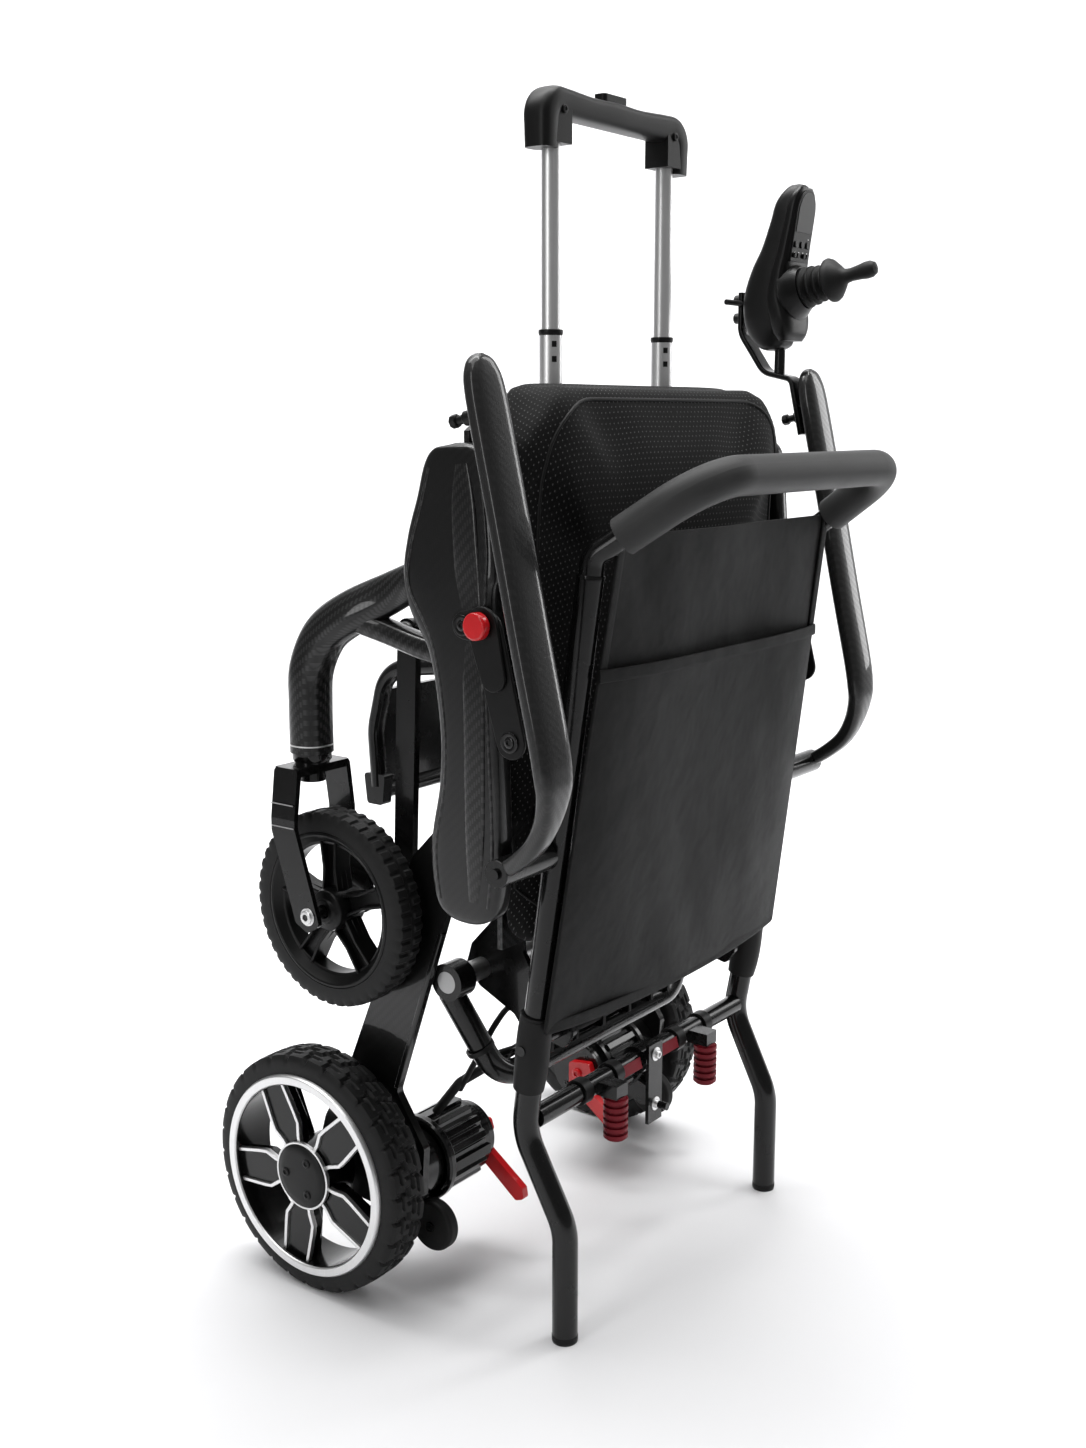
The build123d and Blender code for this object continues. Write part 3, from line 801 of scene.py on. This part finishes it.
def inflated(name, start, hold, steps=20):
    """start puffed up by cloth pressure; points where hold(point) is true stay."""
    bag = linked(name, start)
    remesh = bag.modifiers.new("remesh", "REMESH")
    remesh.mode, remesh.voxel_size = "VOXEL", VOXEL
    bpy.context.view_layer.update()
    grid = bpy.data.meshes.new_from_object(bag.evaluated_get(bpy.context.evaluated_depsgraph_get()))
    bag.modifiers.clear()
    bag.data = grid
    for vertex in grid.vertices:
        vertex.co = rounded_top(vertex.co)
    before = [v.co.copy() for v in grid.vertices]
    held = bag.vertex_groups.new(name="held")
    held.add([v.index for v in grid.vertices if hold(v.co)], 1.0, "REPLACE")
    cloth = bag.modifiers.new("cloth", "CLOTH")
    cloth.settings.use_pressure = True
    cloth.settings.uniform_pressure_force = PRESSURE
    cloth.settings.vertex_group_mass = "held"
    cloth.settings.effector_weights.gravity = 0.0
    cloth.point_cache.frame_end = steps
    for step in range(1, steps + 1):
        scene.frame_set(step)
    after = bag.evaluated_get(bpy.context.evaluated_depsgraph_get()).to_mesh()
    moved = [v.co.copy() for v in after.vertices]
    bag.modifiers.clear()
    scene.frame_set(1)
    for vertex, old, new in zip(grid.vertices, before, moved):
        step = new - old
        vertex.co = old + step * min(1.0, CUSHION_CAP / max(step.length, 1e-9))
    return bag


start = frame["nodes"]["seat_cushion"].data.copy()
for vertex in start.vertices:
    vertex.co = Vector((heart[n] + (vertex.co[n] - heart[n]) * BAG_SHARE[n] for n in range(3)))
cushion = inflated("seat_cushion_bag", start, lambda p: p.y > high.y - HELD_DEPTH)
softer = cushion.modifiers.new("smooth", "SMOOTH")
softer.iterations, softer.factor = 16, 0.5
for polygon in cushion.data.polygons:
    polygon.use_smooth = True
cushion.data.materials.clear()
cushion.data.materials.append(SEAT_MESH.material)
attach(cushion, "seat")
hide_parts("seat_cushion")
print("cushion points:", len(cushion.data.vertices))


# %% Piping round the cushion
def rounded_frame(half_width, low_z, high_z, corner, steps=10):
    """Outline (x, z) of a rounded rectangle, in mm."""
    points = []
    for sx, sz, first in ((1, 1, 0), (-1, 1, 90), (-1, -1, 180), (1, -1, 270)):
        cx, cz = sx * (half_width - corner), (high_z - corner if sz > 0 else low_z + corner)
        for n in range(steps + 1):
            angle = (first + 90 * n / steps) * pi / 180
            points.append((cx + corner * cos(angle), cz + corner * sin(angle)))
    dense = []
    for a, b in zip(points, points[1:] + points[:1]):
        count = max(1, ceil(sqrt((b[0] - a[0]) ** 2 + (b[1] - a[1]) ** 2) / 9))
        dense += [(a[0] + (b[0] - a[0]) * n / count,
                   a[1] + (b[1] - a[1]) * n / count) for n in range(count)]
    return dense


def tube_loop(points, radius, around=8):
    """A closed round cord through points in metres."""
    verts, faces = [], []
    count = len(points)
    for n, point in enumerate(points):
        along = (points[(n + 1) % count] - points[n - 1]).normalized()
        wide = along.cross(Vector((0, 1, 0))).normalized()
        deep = along.cross(wide)
        verts += [point + (wide * cos(2 * pi * k / around) + deep * sin(2 * pi * k / around)) * radius * MM
                  for k in range(around)]
    for n in range(count):
        a, b = n * around, (n + 1) % count * around
        faces += [[a + k, a + (k + 1) % around, b + (k + 1) % around, b + k] for k in range(around)]
    return verts, faces


bpy.context.view_layer.update()
surface = BVHTree.FromObject(cushion, bpy.context.evaluated_depsgraph_get())
seam = []
for x, z in rounded_frame(211, 412, 908, 74):
    hit = surface.ray_cast(place(x, -200, z), Vector((0, 1, 0)))[0]
    if hit:
        seam.append(hit)
piece("cushion_piping", *tube_loop(seam, 1.7), SOFT_BLACK, "seat")
print("piping points:", len(seam))

# %% [markdown]
# ## The back panel
# One sheet of coated nylon is stretched between the back tubes, with a pocket sheet sewn over it.
# A formula gives its shape: it bellies out a little and carries soft creases from smooth noise. The
# hems are bound with folded tape.

# %% Back panel and pocket
BACK_LOW, BACK_SLOPE = (28.0, 300.0), 64.0 / 455.0
PANEL_OFF = 17.5
PANEL_LOW, PANEL_HIGH, POCKET_TOP = 322.0, 790.0, 668.0


def tube_y(z):
    return BACK_LOW[0] - (z - BACK_LOW[1]) * BACK_SLOPE


def panel_half(z):
    return 217.5 - (z - PANEL_LOW) / (PANEL_HIGH - PANEL_LOW) * 22.0


def crease(x, z, seed):
    """Soft folds that run down and across the cloth, in mm."""
    spot = Vector((x * 0.0052 + z * 0.0021, z * 0.0034 - x * 0.001, seed))
    fine = Vector((x * 0.016 + z * 0.006, z * 0.007, seed + 9))
    return 9 * noise.noise(spot) + 2.6 * noise.noise(fine)


def panel_sheet(low_z, high_z, proud, seed, columns=64, rows=80):
    """Grid of a sheet between the tubes; proud(t across, u up) lifts it towards the outside."""
    verts, faces = [], []
    for r in range(rows + 1):
        u = r / rows
        for c in range(columns + 1):
            t = -1 + 2 * c / columns
            z = low_z + (high_z - low_z) * u
            x = t * panel_half(z)
            slack = (1 - t**4)
            y = tube_y(z) - PANEL_OFF - proud(t, u) - slack * max(0.0, 3 + crease(x, z, seed))
            sag = -9 * (1 - t * t) * max(0.0, 1 - u * 9)
            verts.append(place(x, y, z + sag))
    for r in range(rows):
        for c in range(columns):
            a = r * (columns + 1) + c
            faces.append([a, a + 1, a + columns + 2, a + columns + 1])
    return verts, faces


def thickened(made, thick):
    skin = made.modifiers.new("thickness", "SOLIDIFY")
    skin.thickness, skin.offset = thick * MM, 0
    return made


def panel_belly(t, u):
    return 6 * (1 - t**4) * sin(pi * min(1, u * 1.1))


def pocket_belly(t, u):
    return 3.5 + (1 - t**4) * (8 * sin(pi * u * 0.9) + 6 * u**4)


cloth = panel_sheet(PANEL_LOW, PANEL_HIGH, panel_belly, 3)
panel = piece("back_panel", *cloth, NYLON, "back_frame", sharp=80, stands_for=["back_fabric"])
thickened(panel, 1.2)
cloth = panel_sheet(PANEL_LOW + 6, POCKET_TOP, pocket_belly, 3.4, rows=64)
pocket = piece("back_pocket", *cloth, NYLON, "back_frame", sharp=80)
thickened(pocket, 1.2)
print("panel half width at the hem, mm:", panel_half(PANEL_LOW))


# %% Hems
def hem_strip(points, width, thick, side=(1, 0, 0)):
    """Folded tape along points (x, y, z in mm), with its width along side."""
    return loft([(x, y, z, width, thick) for x, y, z in points], 4.0, 14, 4, side=side)


heights = [PANEL_LOW + (PANEL_HIGH - 2 - PANEL_LOW) * n / 8 for n in range(9)]
hems = []
for sign in (-1, 1):
    edge = [(sign * 0.985 * panel_half(z), tube_y(z) - PANEL_OFF - 2.5, z) for z in heights]
    hems.append(hem_strip(edge, 5.5, 1.6))
bottom = [(-216 + 432 * n / 12, tube_y(PANEL_LOW) - 20 - 6 * (1 - (n / 6 - 1) ** 4),
           PANEL_LOW + 4 - 9 * (1 - (n / 6 - 1) ** 2)) for n in range(13)]
hems.append(hem_strip(bottom, 6, 1.8, side=(0, 0, 1)))
pocket_edge = [(-205 + 410 * n / 12, tube_y(POCKET_TOP) - 21.5 - 13 * (1 - (n / 6 - 1) ** 4),
                POCKET_TOP - 3) for n in range(13)]
hems.append(hem_strip(pocket_edge, 6, 1.4, side=(0, 0, 1)))
piece("back_hems", *joined(*hems), NYLON, "back_frame")
print("hems done")

# %% [markdown]
# ## Armrests and push bar
# The armrest is one smooth slab with a round nose that thins to a J and ends on the pivot.

# %% Armrests
SLAB = [(294, 17.5, 944.5, 3, 3), (294, 17.2, 941, 11, 6), (294, 15.8, 934, 17, 8),
        (294, 12.6, 920, 21.5, 9.4), (294, 5, 887, 23, 9.8), (294, -15, 800, 23, 9.8),
        (294, -37, 700, 23, 9.8), (294, -55, 622, 22.6, 9.8), (294, -60, 592, 22, 9.4)]
TAIL = [(294, -60, 575, 18.5, 9.4), (294, -54, 552, 13.5, 9), (294, -42, 530, 10, 8.5),
        (292, -24, 513, 8.5, 8), (289, -6, 501, 8, 7.5), (286, 6, 496, 7.5, 6)]
for side, sign in SIDES.items():
    bar = loft([(sign * x, *rest) for x, *rest in SLAB + TAIL], 3.2, 36, 7)
    piece(f"armrest_{side}_slab", *bar, PAD_GREY, "armrest_" + side,
          stands_for=["armrest_pad_" + side, "armrest_bar_" + side])
    boss = at(sign * 222, 0, 497, (sign, 0, 0))
    piece(f"armrest_{side}_boss", *lathe(disc(13, 0, 76), boss, 36), FRAME_BLACK, "armrest_" + side)
    stud = at(sign * 294, 21, 893, (0, 1, -0.2))
    knob = joined(lathe(disc(6.5, 0, 12), stud, 20), lathe(disc(4, 12, 26), stud, 18),
                  lathe(disc(6, 20, 27), stud, 8))
    piece(f"armrest_{side}_knob", *knob, BLACK_PLASTIC, "armrest_" + side)
print("armrests done:", COUNT["pieces"], "pieces")

# %% Push bar ends and tube tops
for side, sign in SIDES.items():
    start = at(sign * 206, -36, 755, (0, -0.14, 0.99))
    ring = lathe([(11.6, -3), (11.6, 1.2), (12.6, 1.2), (13, 0.6), (13, -3)], start, 40)
    piece("tube_rim_" + side, *ring, FRAME_BLACK, "back_frame")
    tip = at(sign * 199, -5, 0)
    foot = lathe([(0.01, 0.1), (10.5, 0.1), (12.9, 2), (12.95, 7), (0.01, 7)], tip, 40)
    piece("foot_plug_" + side, *foot, SOFT_BLACK, "back_frame")
    boot = [(sign * 206, 23.5, 334, 15.6, 15.6), (sign * 206, 27, 312, 16.6, 16.6),
            (sign * 206, 29.4, 290, 16.8, 16.8), (sign * 205.4, 32, 272, 16.4, 16.4),
            (sign * 204.6, 35, 256, 15.2, 15.2)]
    piece("hinge_boot_" + side, *loft(boot, 2.0, 36, 6), SOFT_BLACK, "back_frame")
print("tube ends done")

# %% [markdown]
# ## Pull handle
# A luggage-type handle: a moulded grip whose ends droop over the two rods, with a button on top.

# %% Grip and rods
ROD_X, ROD_Y = 98, 88
HALF_GRIP = [(113, 1137, 14, 12), (113, 1156, 14.5, 12.5), (112, 1170, 15, 13), (103, 1179, 15, 13.5),
             (84, 1180, 14.5, 13), (40, 1179, 14, 12)]
grip_stations = [(-x, *rest) for x, *rest in HALF_GRIP] + [(0, 1179.5, 14, 12.5)] + HALF_GRIP[::-1]
grip = loft([(x, ROD_Y, *rest) for x, *rest in grip_stations], 3.6, 32, 6, side=(0, 1, 0))
piece("pull_grip_skin", *grip, BLACK_PLASTIC, "pull_handle", stands_for=["pull_grip"])
ends = []
for sign in (-1, 1):
    block = at(sign * ROD_X, ROD_Y, 1156)
    ends.append(prism([(-15, -14), (15, -14), (15, 14), (-15, 14)], block, -14, 22))
    dot = at(sign * 96, 73.6, 1172, (0, -1, 0))
    ends.append(socket_screw(4, 1.6, dot))
piece("pull_grip_ends", *joined(*ends), BLACK_PLASTIC, "pull_handle", bevel=4)
rims, holes = [], []
for sign in (-1, 1):
    top = at(sign * ROD_X, ROD_Y, 972)
    rims.append(lathe([(9.3, -4), (9.3, 1.6), (11.4, 1.6), (11.8, 0.8), (11.8, -2), (11, -4)], top, 40))
    for z in (960, 946):
        hole = at(sign * ROD_X - 6.5, ROD_Y - 9, z, (-0.585, -0.81, 0))
        holes.append(prism([(-2.4, -2.8), (2.4, -2.8), (2.4, 2.8), (-2.4, 2.8)], hole, -1.2, 0.25))
piece("sleeve_rims", *joined(*rims, *holes), BLACK_PLASTIC, "seat", bevel=0.2)
print("pull handle done")

# %% [markdown]
# ## Controller
# A rounded housing that tapers upward, a smoked screen, a row of four keys, and a joystick with a
# ribbed rubber boot. The boot and stick are turned shapes on the joystick's own axis.

# %% Controller housing
CONTROL_X = 285.0


def face_y(z):
    return 18 + (1142 - z) * 0.145


HOUSING = [(971, 38, 44, 12), (975, 31, 60, 20), (984, 27, 78, 26), (1000, 27, 87, 30), (1020, 33, 88, 31),
           (1045, 32, 80, 30), (1070, 28.4, 68, 27.5), (1100, 24.1, 58, 25), (1118, 21.5, 53, 23.5),
           (1131, 20.3, 44, 20), (1139, 21, 36, 13), (1142.5, 24, 31, 4)]
rows = [(CONTROL_X, (front + back) / 2, z, wide, (back - front) / 2) for z, front, back, wide in HOUSING]
housing = loft(rows, 3.4, 44, 6)
bezel = loft([(CONTROL_X, front + (back - front) * 0.2, z, wide + 0.9, (back - front) * 0.2 + 0.4)
              for z, front, back, wide in HOUSING[1:-1]], 4.0, 44, 6)
piece("controller_bezel", *bezel, CASTER_PLASTIC, "armrest_right")
piece("controller_housing", *housing, BLACK_PLASTIC, "armrest_right", stands_for=["controller_shell"])
PLATE_HALF, PLATE_BEND = 20.5, 1112
lip = [(PLATE_HALF * cos(pi * n / 24), PLATE_BEND + 24 * sin(pi * n / 24)) for n in range(25)]
plate_outline = lip + [(-PLATE_HALF, 1060), (PLATE_HALF, 1060)]


def on_face(outline, low, high):
    """A prism on the controller's sloping front; outline is (x from its middle, height z)."""
    verts = [place(CONTROL_X + x, face_y(z) - h, z) for h in (low, high) for x, z in outline]
    return verts, walled(len(outline))


piece("control_panel", *on_face(plate_outline, -3, 1.2), BLACK_PLASTIC, "armrest_right", bevel=0.5)
screen_outline = [(x * 0.86, PLATE_BEND + (z - PLATE_BEND) * 0.88) for x,
                  z in lip] + [(-17.6, 1091), (17.6, 1091)]
SCREEN = Paint("pad_grey", Roughness=0.4)
SCREEN.set(Base_Color=SCREEN.mix(SCREEN.noise(30.0), grey(0.045), grey(0.07)))
piece("control_screen", *on_face(screen_outline, 0.6, 1.9), SCREEN, "armrest_right", bevel=0.3)
keys = [on_face([(x - 2.4, 1064), (x + 2.4, 1064), (x + 2.4, 1069), (x - 2.4, 1069)], 0.8, 3.4)
        for x in (-14, -7, 7, 14)]
piece("small_keys", *joined(*keys), BLACK_PLASTIC, "armrest_right", bevel=0.6)
lamps = [on_face([(x - 0.5, z), (x + 0.5, z), (x + 0.5, z + 1), (x - 0.5, z + 1)], 1.0, 1.5)
         for x, z in ((-14, 1069.5), (-4.7, 1069.5), (4.7, 1069.5), (14, 1069.5), (13, 1084))]
piece("key_lamps", *joined(*lamps), BRIGHT_ROD, "armrest_right")
print("controller housing done")

# %% Joystick
TILT = 12 * pi / 180
stick = facing(turned_at("joystick_drive"), (0, -cos(TILT), sin(TILT)), up=(0, 0, 1))
skirt = lathe([(24, -12), (31, -12), (33.5, -8), (31.5, -1), (26, 6), (23.5, 9.5), (21, 9.5), (8, 2),
               (8, -5), (24, -5)], stick, 64)
piece("stick_skirt", *skirt, CASTER_PLASTIC, "armrest_right")
boot = [(0.01, -7), (15, -7), (21, 9), (22.5, 11), (22.5, 13), (18, 16), (19, 17.5), (21.5, 20), (21.5, 22),
        (17, 24.5), (18, 26), (20, 28.5), (20, 30), (15.5, 33), (15.5, 36), (20, 37), (23.5, 40), (24, 43),
        (22, 47), (13, 55), (9, 58), (7.8, 61), (7.2, 66), (8, 76), (9.2, 84), (9, 90), (6.5, 94.5),
        (0.01, 96)]
piece("stick_boot", *lathe(boot, stick, 48), SOFT_BLACK, "joystick_stick", stands_for=["joystick_stick"])
clamp = at(286, 97, 1022, (0, 1, 0))
lower = clamp @ Matrix.Translation((0, -20 * MM, 0))
bolts = [lathe(disc(6, 2, 12), where, 24) for where in (clamp, lower)]
bolts.append(lathe(disc(3.2, -20, 18), at(262, 97, 1018, (-1, 0, 0)), 16))
piece("bracket_bolts", *joined(*bolts), BLACK_PLASTIC, "armrest_right", bevel=0.4)
print("joystick done:", COUNT["pieces"], "pieces")

# %% [markdown]
# ## Motors, levers and frame details
# Cast fins, a brake cap with screws, cable ties on the loom, collars and bolts on the frame.

# %% Motors
for side, sign in SIDES.items():
    can = at(sign * 114, 195, 128, (sign, 0, 0))
    outline = []
    for n in range(16):
        for swing, radius in ((-0.36, 40.3), (-0.2, 43.5), (0.2, 43.5), (0.36, 40.3)):
            angle = 2 * pi * (n + swing) / 16
            outline.append((radius * cos(angle), radius * sin(angle)))
    fins = prism(outline, can, 8, 62)
    cap = lathe([(0.01, -13.4), (29, -13.4), (34.4, -10), (34.6, 0), (39, 4), (40.5, 9), (0.01, 9)],
                can, 48)
    flange = lathe(disc(46, 62, 72, 2), can, 64)
    screws = [socket_screw(3, 2, at(sign * 101, 195 + 24 * cos(a), 128 + 24 * sin(a), (-sign, 0, 0)))
              for a in (0.6, 2.2, 3.8, 5.4)]
    piece("motor_fins_" + side, *joined(fins, cap, flange, *screws), MOTOR_BLACK, "chassis", bevel=1.0)
    rivet = at(sign * 91, 188, 130, (-sign, 0, 0))
    piece("lever_rivet_" + side, *socket_screw(6, 3, rivet), RED_PLASTIC, "freewheel_lever_" + side,
          bevel=0.3)
    edge = [(186, 222), (192, 222), (130, 398), (124, 398)]
    piece("plate_edge_" + side, *prism(edge, on_side(sign, 216), 1.5, 10), MOTOR_BLACK, "chassis",
          bevel=1.2)
print("motors done")


# %% Cable ties, collars and the latch
def ring_round(centre, along, inner, outer, width):
    return lathe([(inner, -width / 2), (outer, -width / 2), (outer, width / 2), (inner, width / 2)],
                 facing(centre, along), 30)


ties = []
for x in (-130, -95, -50, 0, 50, 95, 130):
    ties.append(ring_round(place(x, 104, 240), (1, 0, 0), 13.1, 15.2, 5))
    ties.append(prism([(-3, -3), (3, -3), (3, 9), (-3, 9)], at(x, 90, 246, (1, 0, 0)), -2.5, 2.5))
for sign in (-1, 1):
    ties.append(ring_round(place(sign * 182, 113, 270), (sign * 0.33, 0.33, 0.88), 13.1, 15.2, 5))
piece("cable_ties", *joined(*ties), BLACK_PLASTIC, "chassis", bevel=0.3)


def cable(name, radius, *points):
    """A cable held on the chassis: a smooth round tube through points in mm."""
    tube = loft([(*point, radius, radius) for point in points], 2.0, 12, 8, side=(0.3, 0.1, 0.9))
    piece(name, *tube, SOFT_BLACK, "chassis")


cable("loom_loop_left", 3.2, (-158, 160, 205), (-166, 130, 250), (-150, 118, 285), (-120, 122, 292),
      (-104, 118, 270), (-90, 112, 254))
cable("loom_back", 4.0, (-150, 128, 246), (-80, 96, 254), (-20, 92, 253), (60, 95, 254), (120, 112, 254),
      (156, 140, 235))
cable("loom_front", 4.2, (-140, 130, 240), (-60, 122, 238), (10, 121, 236), (80, 122, 238), (140, 132, 238))
latch = []
for x, z in ((0, 170), (0, 226)):
    spot = at(x, 20.6, z, (0, -1, 0))
    latch.append(lathe([(3, 0), (7.5, 0), (7.5, 1.2), (3, 1.4)], spot, 24))
    latch.append(socket_screw(4.6, 5, spot))
piece("latch_bolts", *joined(*latch), BRIGHT_ROD, "back_frame", bevel=0.2)
tags = [prism([(-17, -6), (17, -6), (17, 6), (-17, 6)], at(x, 25.8, 222, (0, -1, 0.3)), 0, 0.8)
        for x in (-38, 34)]
piece("latch_tags", *joined(*tags), RED_RUBBER, "back_frame", bevel=0.3)
collars = [ring_round(place(sign * x, 37, 220), (1, 0, 0), 11.1, 13.6, 14)
           for sign in (-1, 1) for x in (60, 116)]
piece("cross_collars", *joined(*collars), BLACK_PLASTIC, "back_frame", bevel=0.5)
print("details done:", COUNT)

# %% [markdown]
# ## Floor and lamps
# The floor is one strip of pale paper that curves up behind the chair. A wide soft lamp hangs
# overhead, two narrow ones draw bright lines on the tubes, and the last one lights the paper.

# %% Floor
run = Vector((LOOK.x, LOOK.y, 0)).normalized()
across = run.cross(Vector((0, 0, 1)))
profile = [(-6.0, 0.0), (2.6, 0.0)]
profile += [(2.6 + 2.2 * sin(n * pi / 24), 2.2 - 2.2 * cos(n * pi / 24)) for n in range(1, 13)]
profile += [(4.8, 7.0)]
verts = [run * d + across * w + Vector((0, 0, h)) for d, h in profile for w in (-9, 9)]
faces = [[2 * n, 2 * n + 1, 2 * n + 3, 2 * n + 2] for n in range(len(profile) - 1)]
mesh = bpy.data.meshes.new("floor")
mesh.from_pydata([tuple(v) for v in verts], [], faces)
for polygon in mesh.polygons:
    polygon.use_smooth = True
paper = bpy.data.materials.new("paper")
paper.use_nodes = True
shader = paper.node_tree.nodes["Principled BSDF"]
shader.inputs["Base Color"].default_value = (0.80, 0.80, 0.81, 1)
shader.inputs["Roughness"].default_value = 0.7
mesh.materials.append(paper)
linked("floor", mesh)
print("floor strip of", len(faces), "faces")

# %% World and lamps
world = bpy.data.worlds.new("studio")
world.use_nodes = True
sky = world.node_tree.nodes["Background"]
sky.inputs["Color"].default_value = (0.18, 0.18, 0.18, 1)
seen = world.node_tree.nodes.new("ShaderNodeBackground")
seen.inputs["Color"].default_value = (0.82, 0.82, 0.83, 1)
either = world.node_tree.nodes.new("ShaderNodeMixShader")
ray = world.node_tree.nodes.new("ShaderNodeLightPath")
for source, socket in ((ray.outputs["Is Camera Ray"], either.inputs[0]), (sky.outputs[0], either.inputs[1]),
                       (seen.outputs[0], either.inputs[2]),
                       (either.outputs[0], world.node_tree.nodes["World Output"].inputs["Surface"])):
    world.node_tree.links.new(source, socket)
scene.world = world
scene.view_settings.view_transform = "Standard"


def lamp(name, spot, size, power, target=(0, 60, 550)):
    light = bpy.data.lights.new(name, "AREA")
    light.shape, light.size, light.size_y, light.energy = "RECTANGLE", size[0], size[1], power
    made = linked(name, light)
    made.location = place(*spot)
    made.rotation_euler = (place(*target) - made.location).to_track_quat("-Z", "Y").to_euler()


lamp("overhead", (200, 500, 4200), (5.0, 5.0), 205)
lamp("key", (-2600, 300, 1500), (0.5, 2.4), 16)
lamp("rim", (2300, -900, 1700), (0.5, 2.4), 18)
lamp("wall", (300, 400, 3300), (3.0, 2.0), 240, (3600, 2600, 1500))
print("stage set")
